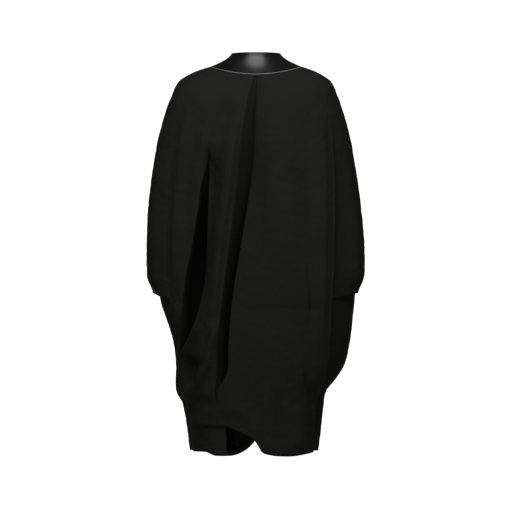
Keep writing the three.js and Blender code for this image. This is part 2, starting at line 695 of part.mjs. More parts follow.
// The loop's ends lie on the collar's lining. The collar is round and the loop is flat, so the
// loop's place is set by its outer corners.
const loopOuter = LOOP_HALF_WIDTH + LOOP_STRAP_WIDTH / 2;
const loopInner = LOOP_HALF_WIDTH - LOOP_STRAP_WIDTH / 2;
const loopAngle = Math.asin(loopOuter / SEAM_HALF_WIDTH) / DEGREE;
const loopSeat = collarPoint(loopAngle, LOOP_SEAT_SHARE).addScaledVector(
  collarNormal(loopAngle, LOOP_SEAT_SHARE), -(liningInset + COLLAR_LINING + LAYER_GAP),
);

// one edge of the U-shaped strap, from one top end to the other; sign -1 runs it backwards
function loopEdge(outline, x, drop, corner, sign) {
  outline.lineTo(-sign * x, 0);
  outline.lineTo(-sign * x, corner - drop);
  outline.quadraticCurveTo(-sign * x, -drop, -sign * (x - corner), -drop);
  outline.lineTo(sign * (x - corner), -drop);
  outline.quadraticCurveTo(sign * x, -drop, sign * x, corner - drop);
  outline.lineTo(sign * x, 0);
}
const loopOutline = new THREE.Shape();
loopOutline.moveTo(-loopOuter, 0);
loopEdge(loopOutline, loopOuter, LOOP_DROP, LOOP_CORNER, 1);
const innerCorner = LOOP_CORNER - LOOP_STRAP_WIDTH / 2;
loopEdge(loopOutline, loopInner, LOOP_DROP - LOOP_STRAP_WIDTH, innerCorner, -1);
loopOutline.closePath();
const strap = new THREE.ExtrudeGeometry(loopOutline, {
  depth: LOOP_STRAP_THICKNESS, curveSegments: 5, bevelEnabled: false,
});
strap.rotateX(Math.PI / 2);
strap.translate(0, loopSeat.y + LOOP_STRAP_THICKNESS, loopSeat.z);
addPiece('hanger_loop', strap, blackCloth);

const labelRulings = rulingsBetween(
  onBack(flat(LABEL_LEFT_X)), onBack(flat(LABEL_RIGHT_X)), 2,
);
addPiece('care_label', clothPanel({
  rulings: labelRulings, levels: [(LABEL_TOP + LABEL_BOTTOM) / 2],
  top: flat(LABEL_TOP), hem: flat(LABEL_BOTTOM), inset: CLOTH + 2 * LAYER_GAP, thickness: LABEL_THICKNESS,
}), labelCloth);

export default cape;
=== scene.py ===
"""The looks of the draped salon cape: cloth, collar, piping, tab, press studs, loop and label.

Metres, +Z up, the back of the cape faces -Y. The cloth is a body of rings, as in the CAD model:
a place on it is an angle round the body (0 at the centre back, +90 on the +X side, 180 at the
centre front) and a level, the drop below the collar's seam at the centre back. The shape's
values below are in millimetres, and MM turns them into metres at the last step.
"""

import math

import bmesh
import bpy
import numpy as np
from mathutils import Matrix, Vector, noise


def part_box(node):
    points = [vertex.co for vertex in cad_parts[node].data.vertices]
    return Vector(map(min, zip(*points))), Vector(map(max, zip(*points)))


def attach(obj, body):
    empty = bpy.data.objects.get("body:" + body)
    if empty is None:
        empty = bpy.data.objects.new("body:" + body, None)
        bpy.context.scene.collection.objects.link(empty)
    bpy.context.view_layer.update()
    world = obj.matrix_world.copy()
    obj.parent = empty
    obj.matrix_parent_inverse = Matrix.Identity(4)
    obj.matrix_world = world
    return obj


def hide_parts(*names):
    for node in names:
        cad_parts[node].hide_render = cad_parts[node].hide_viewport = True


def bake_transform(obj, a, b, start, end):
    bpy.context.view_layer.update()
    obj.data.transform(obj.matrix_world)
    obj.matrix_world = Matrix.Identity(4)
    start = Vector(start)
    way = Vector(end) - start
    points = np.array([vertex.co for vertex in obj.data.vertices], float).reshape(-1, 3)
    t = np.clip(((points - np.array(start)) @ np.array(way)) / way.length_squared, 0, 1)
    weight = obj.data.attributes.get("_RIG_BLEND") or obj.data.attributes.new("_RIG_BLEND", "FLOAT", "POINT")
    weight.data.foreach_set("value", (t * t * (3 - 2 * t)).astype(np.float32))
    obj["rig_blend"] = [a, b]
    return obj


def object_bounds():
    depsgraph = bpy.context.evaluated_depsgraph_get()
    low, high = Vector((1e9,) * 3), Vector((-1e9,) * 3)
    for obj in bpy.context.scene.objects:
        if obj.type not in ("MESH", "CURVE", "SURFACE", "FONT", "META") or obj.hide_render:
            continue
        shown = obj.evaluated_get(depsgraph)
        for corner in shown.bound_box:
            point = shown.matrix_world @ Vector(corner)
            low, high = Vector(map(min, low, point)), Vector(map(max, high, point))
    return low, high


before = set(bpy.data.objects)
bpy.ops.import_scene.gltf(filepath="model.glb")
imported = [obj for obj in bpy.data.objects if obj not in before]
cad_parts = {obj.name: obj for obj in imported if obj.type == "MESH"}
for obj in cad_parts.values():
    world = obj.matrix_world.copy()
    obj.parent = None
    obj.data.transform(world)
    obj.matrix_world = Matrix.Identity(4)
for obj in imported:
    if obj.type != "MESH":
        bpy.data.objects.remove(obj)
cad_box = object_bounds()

MM = 0.001
DEGREE = math.pi / 180

# ------------------------------------------------------------------ driving dimensions

SHOULDER_LEVEL = 140
CUFF_LEVEL = 596
HIP_LEVEL = 835
OUTER_HEM_LEVEL = 925
HEM_LEVEL = 1010
BACK_HEM_LEVEL = 1003
SIDE_HEM_LEVEL = 994
FRONT_HEM_LEVEL = 1019

BODY_HALF_WIDTH = 262
BACK_DEPTH = 163
FRONT_DEPTH = 182
SLEEVE_FULLNESS = {"left": 32, "right": 24}

SEAM_HALF_WIDTH = 122
SEAM_BACK = 92
SEAM_FRONT = 94
SEAM_SIDE_RISE = 22
SEAM_FRONT_DROP = 35
KNEE_HALF_WIDTH = 72
KNEE_BACK = 72
KNEE_FRONT = 74
KNEE_HEIGHT = 30
TOP_HALF_WIDTH = 66
TOP_BACK = 69
TOP_FRONT = 70
TOP_HEIGHT = 56
TOP_FRONT_DROP = 27

CLOTH = 0.9
HEM_INSET = 1.9
HEM_ROWS = 3
ROW_STEP = 6.5
HEM_STITCH_INSET = 12
EDGE_STITCH_INSET = 5
STITCH_PITCH = 3.4
STITCH_HALF_WIDTH = 0.35
STITCH_DIMPLE = 2.4
STITCH_END = (0.34, 0.44)
STITCH_RELIEF = 2.5

UNDERLAP_EDGE_X = -78
FRONT_CORNER_RISE = 42
FRONT_CORNER_RADIUS = 95
FRONT_TRIM = 0.45

# how the cloth settles, and how firmly its edges, its deep folds and the rest keep their places
CLOTH_PHYSICS = {
    "quality": 6, "mass": 0.25, "tension_stiffness": 25, "compression_stiffness": 25,
    "shear_stiffness": 8, "bending_stiffness": 0.35, "tension_damping": 12,
    "compression_damping": 12, "air_damping": 4, "shrink_min": -0.005, "pin_stiffness": 2.0,
}
SETTLE_WEIGHT = 0.12
SETTLE_FRAMES = 12
FIRM = 1.0
FOLDED = 0.6
LOOSE = 0.2
FIRM_REACH = 6
CUFF_FIRM_REACH = 9

# strips of the main sheet, from the left sleeve round the back, and the cells across each
LEFT_SLEEVE, BACK_LEFT, HIP_FOLD, BETWEEN_FOLDS, PLEAT, BACK_RIGHT, RIGHT_SLEEVE = range(7)
MAIN_CELLS = [40, 26, 26, 26, 26, 58, 40]
SIDE_CELLS = 34
FRONT_CELLS = 58
UNDERLAP_CELLS = 30

TUCK_SHARE = 0.4
TUCK_BACK = 0.3
PLEAT_TUCK = 0.3
PLEAT_FALL = 0.55
WING_DEPTH = 19
FORMED_DEPTH = 14

# soft waves and unevenness of each panel, as heights
SLEEVE_WAVE = 5.5
SIDE_WAVE = 5.5
FRONT_WAVE = 7.0
UNDERLAP_WAVE = 2.2
COLLAR_DENTS = 0.55
LONG_UNEVENNESS = 0.9
SHORT_UNEVENNESS = 0.35
PANEL_UNEVENNESS = 0.8

# painted shade: how far the cloth's colour is darkened in and beside its folds, standing in for the shade
# there
BETWEEN_FOLDS_PAINTED_SHADE = 0.34
PLEAT_PAINTED_SHADE = 0.42
BESIDE_PLEAT_PAINTED_SHADE = 0.3

FACING = 0.7
FACING_INSET = 1.5
FACING_COLUMNS = 14
CUFF_ROWS = 6
UNDERLAP_INSET = 4.6
UNDERLAP_INSET_LEFT = 3.4
UNDERLAP_WRAP = 7
UNDER_CUFF = 34
CUFF_SLANT = 19
CUFF_TAPER = 9

# layers of the collar, and the press studs' stack under the tab
COLLAR_SKIN = 0.9
COLLAR_LINING = 0.8
COLLAR_LINING_INSET = 2.5
LAYER_GAP = 0.45
COLLAR_STEP = 1.25
COLLAR_ROWS = 26
COLLAR_SPLIT = 100
COLLAR_END_ANGLE = 175.8
KNEE_SIDE_DROP = 0.35
LIP_STEPS = 6
LIP_RADIUS = 1.4
LIP_DEPTH = 5.0
PIPING_RADIUS = 1.15
PIPING_OFFSET = 2.1
PIPING_STEP = 2.0
PIPING_SIDES = 12

TAB_ROOT_ANGLE = 200
TAB_TIP_ANGLE = 147
TAB_LOW = 0.82
TAB_HIGH = 0.24
TAB_SKIN = 1.4
TAB_LINING = 0.8
TAB_TIP_START = 0.8
TAB_TIP_NARROWING = 0.55
TAB_COLUMNS = 60
TAB_ROWS = 22
TAB_CROWN = 0.5
SNAP_FLANGE = 0.8
SNAP_SOCKET_HEIGHT = 2.0

LOOP_HALF_WIDTH = 26
LOOP_DROP = 46
LOOP_STRAP_WIDTH = 7
LOOP_STRAP_THICKNESS = 1.2
LOOP_CORNER = 13
STRAP_SIDES = 16
LABEL_LEFT_X = 34
LABEL_RIGHT_X = 64
LABEL_TOP = 8
LABEL_BOTTOM = 34
LABEL_THICKNESS = 0.5
LABEL_INSET = 5.0

# materials: scales of the noise per metre, and the bumps' heights in metres
FUZZ_SCALE = 2600
MOTTLE_SCALE = 9
SLUB_SCALE = 420
THREAD_DISTORTION = 0.6
WEAVE_BUMP = 0.35
WEAVE_BUMP_HEIGHT = 0.0004
CLOTH_SPECULAR = 0.06
# the colour of the painted shade, mixed into the cape cloth in its folds and on its inner faces
PAINTED_SHADE_COLOUR = (0.0021, 0.0021, 0.0019)
PEBBLE_SCALE = 900
WEAR_SCALE = 16
GRAIN_SCALE = 1800
COATING_BUMP = 0.12
COATING_BUMP_HEIGHT = 0.0003
COATING_IOR = 1.34
SNAP_WEAR_SCALE = 700

# the studio, in metres and watts
FLOOR_DROP = 0.35
FLOOR_REACH = 4.0
BACKDROP_Y = 11.0
BACKDROP_HALF = 4.0
BACKDROP_TOP = 3.0
GLOW_FROM_Y = 1.6
GLOW_TO_Y = 2.8
PAPER_GLOW = 0.9
WORLD_LIGHT = 0.045
LIGHT_TARGET = (0, -0.1, -0.35)
KEY_PLACE = (0.02, -1.6, 1.3)
KEY_SIZE = (2.1, 0.9)
KEY_POWER = 67
FILL_PLACE = (-5.5, -8.6, 0.8)
FILL_SIZE = (3.0, 3.0)
FILL_POWER = 98
CAMERA_LENS = 250
CAMERA_SENSOR = 36
CAMERA_DISTANCE = 9.424
CAMERA_HEIGHT = -0.4797

# the band across which each front bends away from the shell, in metres
BEND_START_X = 0.05
BEND_END_X = 0.014
BEND_END_Y = 0.018


# ------------------------------------------------------------------ smooth curves


def smooth_curve(knots):
    """A smooth curve of one value against level, through (level, value) knots."""
    at = np.array([k[0] for k in knots], float)
    value = np.array([k[1] for k in knots], float)
    low = np.maximum(np.arange(len(at)) - 1, 0)
    high = np.minimum(np.arange(len(at)) + 1, len(at) - 1)
    slope = (value[high] - value[low]) / (at[high] - at[low])

    def curve(level):
        level = np.clip(np.asarray(level, float), at[0], at[-1])
        k = np.clip(np.searchsorted(at, level) - 1, 0, len(at) - 2)
        span = at[k + 1] - at[k]
        t = (level - at[k]) / span
        rise = value[k + 1] - value[k]
        bend = (1 - t) * (slope[k] * span - rise) - t * (slope[k + 1] * span - rise)
        return value[k] + t * rise + t * (1 - t) * bend

    return curve


def mix(a, b, share):
    return a + (b - a) * share


def smoothstep(value, low, high):
    t = np.clip((np.asarray(value, float) - low) / (high - low), 0, 1)
    return t * t * (3 - 2 * t)


def yoke(share):
    return share * SHOULDER_LEVEL


def upper(share):
    return mix(SHOULDER_LEVEL, CUFF_LEVEL, share)


def lower(share):
    return mix(CUFF_LEVEL, HIP_LEVEL, share)


def skirt(share):
    return mix(HIP_LEVEL, HEM_LEVEL, share)


def wide(share):
    return share * BODY_HALF_WIDTH


half_width_left = smooth_curve([
    (0, SEAM_HALF_WIDTH), (yoke(0.1), wide(0.573)), (yoke(0.23), wide(0.672)),
    (yoke(0.4), wide(0.771)), (yoke(0.61), wide(0.836)), (yoke(1), wide(0.9)),
    (upper(0.13), wide(0.947)), (upper(0.52), wide(1)), (upper(0.8), wide(1)),
    (upper(1), wide(0.965)), (lower(0.43), wide(0.84)), (lower(0.7), wide(0.795)),
    (lower(1), wide(0.785)), (skirt(0.2), wide(0.718)), (skirt(1), wide(0.652)),
])
half_width_right = smooth_curve([
    (0, SEAM_HALF_WIDTH), (yoke(0.1), wide(0.565)), (yoke(0.23), wide(0.656)),
    (yoke(0.4), wide(0.748)), (yoke(0.61), wide(0.809)), (yoke(1), wide(0.878)),
    (upper(0.13), wide(0.931)), (upper(0.52), wide(1.008)), (upper(0.8), wide(1.023)),
    (upper(1), wide(1)), (lower(0.43), wide(0.958)), (lower(0.7), wide(0.893)),
    (lower(0.86), wide(0.8)), (lower(1), wide(0.695)), (skirt(0.2), wide(0.668)),
    (skirt(1), wide(0.63)),
])
depth_back = smooth_curve([
    (0, SEAM_BACK), (yoke(0.23), BACK_DEPTH * 0.675), (yoke(0.61), BACK_DEPTH * 0.8),
    (upper(0.13), BACK_DEPTH * 0.914), (upper(0.8), BACK_DEPTH), (lower(0), BACK_DEPTH),
    (skirt(1), BACK_DEPTH * 0.91),
])
depth_front = smooth_curve([
    (0, SEAM_FRONT), (yoke(0.23), FRONT_DEPTH * 0.555), (yoke(0.61), FRONT_DEPTH * 0.582),
    (upper(1), FRONT_DEPTH * 0.769), (skirt(1), FRONT_DEPTH),
])
squareness = smooth_curve([(0, 2), (yoke(1), 2.4), (upper(0.8), 2.7), (skirt(1), 2.5)])
side_rise = smooth_curve([
    (0, SEAM_SIDE_RISE), (yoke(0.4), 42), (yoke(0.61), 42), (yoke(1), 25), (upper(0.13), 8),
    (upper(0.35), 0),
])
front_drop = smooth_curve([
    (0, SEAM_FRONT_DROP), (yoke(0.23), 38), (yoke(1), 25), (upper(0.35), 3), (upper(0.52), 0),
])
sleeve_fullness = smooth_curve([
    (0, 0), (yoke(0.61), 0), (yoke(1), 0.3), (upper(0.3), 0.7), (upper(0.8), 1), (upper(1), 0.86),
])


def ring_point(angle, level):
    """A point of the body of cloth, before its folds, in millimetres."""
    across = np.sin(angle * DEGREE)
    along = np.cos(angle * DEGREE)
    power = 2 / squareness(level)
    width = np.where(across < 0, half_width_left(level), half_width_right(level))
    depth = np.where(along > 0, depth_back(level), depth_front(level))
    front = np.maximum(-along, 0) ** 2
    x = np.sign(across) * width * np.abs(across) ** power
    y = -np.sign(along) * depth * np.abs(along) ** power
    z = -level + side_rise(level) * across**2 - front_drop(level) * front
    return np.stack([x, y, z], axis=-1)


def angle_at_x(x, level):
    """The angle at which the ring at a level lies at x, on the back."""
    width = np.where(np.asarray(x) < 0, half_width_left(level), half_width_right(level))
    share = np.minimum(np.abs(x) / width, 0.995)
    return np.sign(x) * np.arcsin(share ** (squareness(level) / 2)) / DEGREE


# ------------------------------------------------------------------ seam and fold lines

sleeve_seam_right = smooth_curve([
    (0, 100), (yoke(0.1), 125), (yoke(0.23), 148), (yoke(0.4), 170), (yoke(0.61), 184),
    (yoke(1), 196), (upper(0.3), 207), (upper(0.8), 205), (upper(1), 200), (lower(0.43), 195),
    (lower(0.85), 184), (lower(1), 168), (skirt(0.2), 161), (skirt(1), 150),
])
sleeve_seam_left = smooth_curve([
    (0, 100), (yoke(0.1), 125), (yoke(0.23), 150), (yoke(0.4), 174), (yoke(0.61), 190),
    (yoke(1), 206), (upper(0.3), 226), (upper(0.8), 232), (upper(1), 222), (lower(0.43), 207),
    (lower(0.7), 205), (lower(1), 198), (skirt(0.2), 178), (skirt(1), 156),
])
pleat_left_x = smooth_curve([
    (0, -2), (yoke(0.43), -21), (upper(0.07), -38), (upper(0.47), -58), (lower(0.07), -91),
    (lower(0.5), -101), (lower(0.78), -104), (lower(1), -106), (skirt(1), -108),
])
pleat_width = smooth_curve([
    (0, 4), (yoke(0.43), 22), (upper(0.2), 38), (upper(0.56), 33), (upper(1), 27),
    (lower(0.5), 29), (lower(0.78), 28), (lower(1), 8), (skirt(1), 4),
])
underlap_x = smooth_curve([
    (0, 24), (upper(0.2), 34), (upper(1), -40), (lower(0.7), -58), (lower(1), UNDERLAP_EDGE_X),
    (skirt(1), UNDERLAP_EDGE_X),
])
# the deep fold left of the pleat: its two edges meet at its top and at its tip by the hip
hip_fold_left_x = smooth_curve([
    (0, -52), (yoke(0.5), -96), (yoke(1), -118), (upper(0.2), -131), (upper(0.34), -144),
    (upper(0.52), -156), (upper(0.7), -170), (upper(0.86), -185), (lower(0), -193),
    (lower(0.36), -200), (lower(0.61), -203), (lower(1), -188), (skirt(0.5), -160),
    (skirt(1), -146),
])
hip_fold_width = smooth_curve([
    (0, 5), (yoke(1), 6), (upper(0.2), 5), (upper(0.34), 16), (upper(0.52), 26), (upper(0.7), 38),
    (upper(0.86), 49), (lower(0), 46), (lower(0.3), 34), (lower(0.5), 16), (lower(0.65), 5),
    (skirt(1), 5),
])


def on_back(x_at):
    return lambda level: angle_at_x(x_at(level), level)


def sleeve_back_left(level):
    return angle_at_x(-sleeve_seam_left(level), level)


def sleeve_back_right(level):
    return angle_at_x(sleeve_seam_right(level), level)


def sleeve_front_left(level):
    return -180 - sleeve_back_left(level)


def sleeve_front_right(level):
    return 180 - sleeve_back_right(level)


def flat_angle(angle):
    return lambda level: angle + 0 * np.asarray(level, float)


# ------------------------------------------------------------------ folds

# Soft folds of the back: points (x, level), how far they stand out, and their widths on the left
# and on the right. A negative height is a hollow.
BACK_FOLDS = [
    # the valley that runs down from the shoulder into the hip fold
    ([(-70, 60), (-90, 140), (-112, 240), (-124, 330)], -13, 20, 26),
    # the slope that climbs from the hip fold to that ridge
    ([(-120, 170), (-124, 300), (-132, 430), (-146, 560), (-152, 660)], -24, 14, 30),
    # the right half rolls off towards the pleat
    ([(-6, 40), (-2, 150), (-14, 300), (-40, 480), (-60, 640), (-76, 780)], -6, 8, 26),
    # the rounded ridge between the hip fold and the pleat, sweeping down to the hip
    ([(-28, 60), (-54, 150), (-72, 300), (-92, 430), (-106, 560), (-112, 690)], 15, 29, 12),
    ([(-108, 640), (-112, 697), (-127, 763), (-154, 811), (-188, 850)], 17, 13, 13),
    # the hollow under the caught hip, and the rolls round it
    ([(-164, 738), (-176, 790), (-184, 832)], -21, 11, 19),
    ([(-150, 650), (-170, 712), (-192, 752)], 10, 14, 12),
    ([(-204, 740), (-202, 790), (-200, 850)], 5, 8, 8),
    ([(-122, 846), (-152, 868), (-184, 888)], -8, 14, 18),
    ([(-112, 800), (-88, 850), (-62, 905)], 5, 18, 26),
    # the short wrinkle at the top of the hip fold
    ([(-134, 212), (-120, 236), (-110, 266)], -6, 5, 7),
    ([(-146, 140), (-138, 200), (-132, 240)], 4, 12, 8),
    ([(-116, 226), (-112, 250), (-106, 300)], 3, 5, 6),
    # pressed folds and wrinkles of the right half
    ([(24, 90), (30, 300), (24, 560)], -2.6, 7, 16),
    ([(44, 120), (50, 300), (46, 540)], 1.8, 12, 12),
    ([(70, 60), (80, 300), (74, 560)], 2.4, 26, 24),
    ([(122, 90), (134, 320), (128, 590)], -3.4, 22, 26),
    ([(133, 495), (140, 545), (147, 648)], -6, 4, 9),
    ([(128, 772), (140, 845), (156, 890)], -6.5, 5, 10),
    ([(146, 780), (158, 850), (164, 900)], 5, 9, 8),
    ([(168, 70), (180, 300), (176, 620), (164, 800)], 6, 22, 12),
    # the back falls in folds from the left shoulder
    ([(-150, 70), (-176, 220), (-190, 420), (-196, 560)], -4.5, 20, 22),
    ([(-182, 90), (-208, 260), (-216, 440), (-206, 590)], 5, 16, 18),
    ([(-210, 600), (-206, 650), (-214, 700)], 5, 10, 10),
    ([(-40, 860), (-20, 900), (20, 960)], 3, 20, 24),
    ([(60, 820), (66, 900), (74, 1000)], -4, 20, 22),
    ([(112, 860), (116, 930), (112, 1000)], 4.5, 18, 18),
]
SEAM_LINE_LEVEL = 613
SEAM_LINE_FROM_X = -42
SEAM_LINE_TO_X = 186
SEAM_STEP = 1.7


def along_path(x, level, points):
    """Signed distance from a path, and the share of its length at the nearest point."""
    best = np.full(np.shape(x), 1e9)
    side = np.zeros(np.shape(x))
    share = np.zeros(np.shape(x))
    points = np.array(points, float)
    lengths = np.hypot(*(points[1:] - points[:-1]).T)
    total = lengths.sum()
    done = 0.0
    for (ax, al), (bx, bl), length in zip(points[:-1], points[1:], lengths):
        t = np.clip(((x - ax) * (bx - ax) + (level - al) * (bl - al)) / length**2, 0, 1)
        dx = x - mix(ax, bx, t)
        dl = level - mix(al, bl, t)
        distance = np.hypot(dx, dl)
        nearer = distance < best
        cross = (bl - al) * dx - (bx - ax) * dl
        best = np.where(nearer, distance, best)
        side = np.where(nearer, np.sign(cross), side)
        share = np.where(nearer, (done + t * length) / total, share)
        done += length
    return best * side, share


def soft_folds(x, level, folds):
    """How far a list of folds makes the cloth stand out, in millimetres."""
    out = np.zeros(np.shape(x))
    for points, height, width_left, width_right in folds:
        distance, share = along_path(x, level, points)
        width = np.where(distance < 0, width_left, width_right)
        ends = smoothstep(share, 0, 0.22) * (1 - smoothstep(share, 0.74, 1))
        out += height * np.exp(-((distance / width) ** 2)) * ends
    return out


def hand_noise(points, scale, seed):
    """Smooth noise from -1 to 1 at each point, the same on every run."""
    flat = points.reshape(-1, 3) * scale
    offset = Vector((seed * 7.31, seed * 3.17, seed * 5.73))
    values = [noise.noise(Vector(p) + offset) for p in flat]
    return np.array(values).reshape(points.shape[:-1])


# ------------------------------------------------------------------ meshes


def new_object(name, mesh):
    piece = bpy.data.objects.new(name, mesh)
    bpy.context.scene.collection.objects.link(piece)
    return piece


def surface_normals(points):
    """Unit normals of a grid of points, pointing away from the body."""
    round_the_body = np.gradient(points, axis=0)
    down = np.gradient(points, axis=1)
    normal = np.cross(down, round_the_body)
    return normal / np.maximum(np.linalg.norm(normal, axis=-1, keepdims=True), 1e-9)


def along_grid(points, axis):
    """Distances from a grid's first row or column, along its own lines."""
    steps = np.linalg.norm(np.diff(points, axis=axis), axis=-1)
    return np.concatenate([0 * np.take(steps, [0], axis), np.cumsum(steps, axis)], axis)


def stitch_place(along, away):
    """Where each point lies on a row of stitches: how far along it, and how far from the edge."""
    return np.stack([along + 0 * away, away, 0 * away], axis=-1) * MM


def hem_place(points, hem_row):
    """Each point's place against the hem. hem_row is the row of the hem in each column."""
    column = np.arange(len(points))
    down = along_grid(points, 1)
    hem = points[column, hem_row][:, None]
    return stitch_place(along_grid(hem, 0), np.abs(down - down[column, hem_row][:, None]))


def edge_place(points, edge_columns):
    """Each point's place against the nearest of some columns."""
    across = along_grid(points, 0)
    away = np.min([np.abs(across - across[[c]]) for c in edge_columns], axis=0)
    return stitch_place(along_grid(points, 1), away)


def grid_object(name, points, keep=None, held=None, marks=None):
    """A sheet from a grid of points in millimetres. keep(i, j) says which cells exist.

    held, if given, is how firmly each point keeps its place while the cloth settles. marks are
    named vectors at each point, which the materials read.
    """
    columns, rows = points.shape[:2]
    vertices = (points.reshape(-1, 3) * MM).tolist()
    faces = []
    for i in range(columns - 1):
        for j in range(rows - 1):
            if keep is None or keep(i, j):
                a = i * rows + j
                faces.append((a, a + 1, a + rows + 1, a + rows))
    mesh = bpy.data.meshes.new(name)
    mesh.from_pydata(vertices, [], faces)
    mesh.validate()
    if held is not None:
        mesh.attributes.new("held", "FLOAT", "POINT").data.foreach_set(
            "value", held.reshape(-1).astype(np.float32),
        )
    for mark_name, mark in (marks or {}).items():
        mesh.attributes.new(mark_name, "FLOAT_VECTOR", "POINT").data.foreach_set(
            "vector", mark.reshape(-1).astype(np.float32),
        )
    build = bmesh.new()
    build.from_mesh(mesh)
    loose = [v for v in build.verts if not v.link_faces]
    bmesh.ops.delete(build, geom=loose, context="VERTS")
    build.to_mesh(mesh)
    build.free()
    mesh.polygons.foreach_set("use_smooth", [True] * len(mesh.polygons))
    piece = new_object(name, mesh)
    if held is not None:
        weights = np.zeros(len(mesh.vertices), np.float32)
        mesh.attributes["held"].data.foreach_get("value", weights)
        mesh.attributes.remove(mesh.attributes["held"])
        settle(piece, weights)
    return piece


def hold_edges(columns, rows):
    """Weights for a grid: firm at every edge, falling to loose within a few cells."""
    across = np.minimum(np.arange(columns), np.arange(columns)[::-1])[:, None]
    down = np.minimum(np.arange(rows), np.arange(rows)[::-1])[None, :]
    near = np.clip(np.minimum(across, down) / FIRM_REACH, 0, 1)
    return mix(FIRM, LOOSE, near)


def apply_modifiers(piece):
    bpy.context.view_layer.update()
    graph = bpy.context.evaluated_depsgraph_get()
    mesh = bpy.data.meshes.new_from_object(piece.evaluated_get(graph))
    piece.modifiers.clear()
    piece.data = mesh
    return piece


def thicken(piece, thickness):
    """Gives a sheet its thickness, inwards."""
    solid = piece.modifiers.new("thickness", "SOLIDIFY")
    solid.thickness = thickness * MM
    solid.offset = -1
    solid.use_rim = True
    solid.use_even_offset = False
    outer = len(piece.data.vertices)
    apply_modifiers(piece)
    # painted shade: the inner face is marked to take the full painted shade colour, for the shade inside the
    # cape
    marks = piece.data.attributes
    mark = marks.get("painted_shade") or marks.new("painted_shade", "FLOAT_VECTOR", "POINT")
    for value in mark.data[outer:]:
        value.vector = (1, 1, 1)
    return piece


def settle(piece, held):
    """Lets the sheet settle as cloth. held says how firmly each vertex keeps its place, 0 to 1."""
    group = piece.vertex_groups.new(name="held")
    for weight in np.unique(np.round(held, 2)):
        chosen = np.nonzero(np.round(held, 2) == weight)[0]
        group.add(chosen.tolist(), float(weight), "REPLACE")
    cloth = piece.modifiers.new("cloth", "CLOTH")
    physics = cloth.settings
    for setting, value in CLOTH_PHYSICS.items():
        setattr(physics, setting, value)
    physics.vertex_group_mass = "held"
    physics.effector_weights.gravity = SETTLE_WEIGHT
    cloth.collision_settings.use_collision = False
    cloth.collision_settings.use_self_collision = False
    cloth.point_cache.frame_start = 1
    cloth.point_cache.frame_end = SETTLE_FRAMES
    scene = bpy.context.scene
    for frame_number in range(1, SETTLE_FRAMES + 1):
        scene.frame_set(frame_number)
    apply_modifiers(piece)
    piece.vertex_groups.clear()
    scene.frame_set(1)
    piece.data.polygons.foreach_set("use_smooth", [True] * len(piece.data.polygons))
    return piece


def turned_hem(points):
    """Turns the last rows of a grid up inside, as a hem."""
    normals = surface_normals(points)
    last = points.shape[1] - 1
    turned = [points]
    for k in range(1, HEM_ROWS + 1):
        row = points[:, last - k] - normals[:, last - k] * HEM_INSET
        turned.append(row[:, None, :])
    return np.concatenate(turned, axis=1)


# ------------------------------------------------------------------ the main sheet


def strip_columns(cells):
    """Where each column lies: between which pair of rulings, and its share of the way across."""
    columns = [(k, i / count) for k, count in enumerate(cells) for i in range(count)]
    return columns + [(len(cells) - 1, 1.0)]


def column_angles(rulings, columns, levels):
    """Angles of each column at each of its levels. levels has a row for each column."""
    angles = np.zeros(levels.shape)
    for i, (k, share) in enumerate(columns):
        angles[i] = mix(rulings[k](levels[i]), rulings[k + 1](levels[i]), share)
    return angles


def level_rows(*stops):
    """Even rows that pass through each of the stops."""
    rows = []
    for a, b in zip(stops[:-1], stops[1:]):
        count = max(int(round((b - a) / ROW_STEP)), 1)
        rows += list(np.linspace(a, b, count, endpoint=False))
    return np.array(rows + [stops[-1]])


outer_hem = smooth_curve([
    (UNDERLAP_EDGE_X - 30, OUTER_HEM_LEVEL), (UNDERLAP_EDGE_X, OUTER_HEM_LEVEL + 1),
    (-20, OUTER_HEM_LEVEL + 24), (6, OUTER_HEM_LEVEL + 40), (22, OUTER_HEM_LEVEL + 66),
    (46, BACK_HEM_LEVEL - 3), (70, BACK_HEM_LEVEL), (110, BACK_HEM_LEVEL),
    (165, SIDE_HEM_LEVEL),
])


def side_hem(x):
    return np.full(np.shape(x), float(SIDE_HEM_LEVEL))


def underlap_hem(x):
    return mix(SIDE_HEM_LEVEL, BACK_HEM_LEVEL, smoothstep(x, -168, -120))


def front_hem(x):
    share = np.clip(1 - np.abs(x) / FRONT_CORNER_RADIUS, 0, 1)
    level = mix(FRONT_HEM_LEVEL, SIDE_HEM_LEVEL, smoothstep(np.abs(x), 110, 165))
    return level - FRONT_CORNER_RISE * share**2


def seam_top(angle):
    """The level at which the cloth starts, just below the piping."""
    step = 0.5
    rise = ring_point(angle, np.full_like(angle, step)) - ring_point(angle, np.zeros_like(angle))
    return 3.2 * step / np.linalg.norm(rise, axis=-1)


def tucked_fold(u):
    """Section of the hip fold: the cloth turns under its left edge, then climbs to the right.

    Returns how far across the fold each place lies, from 0 to 1, and its share of the depth.
    """
    back = np.clip(u / TUCK_SHARE, 0, 1)
    out = np.clip((u - TUCK_SHARE) / (1 - TUCK_SHARE), 0, 1)
    across = mix(-TUCK_BACK * np.sin(np.pi / 2 * back) ** 2, 1, out)
    depth = np.where(u < TUCK_SHARE, np.sin(np.pi / 2 * back) ** 1.2,
                     np.cos(np.pi / 2 * out**1.9) ** 1.1)
    return across, depth


def boxed_fold(u):
    """Section of the pleat: it falls from the ridge on the left and turns under its right edge."""
    fall = np.clip(u / PLEAT_FALL, 0, 1)
    rise = np.clip((u - PLEAT_FALL) / (1 - PLEAT_FALL), 0, 1)
    climb = np.cos(np.pi / 2 * rise)
    falling = u < PLEAT_FALL
    across = np.where(falling, (1 + PLEAT_TUCK) * fall**1.15, 1 + PLEAT_TUCK * climb**2)
    depth = np.where(falling, np.sin(np.pi / 2 * fall) ** 1.15, climb**1.1)
    return across, depth


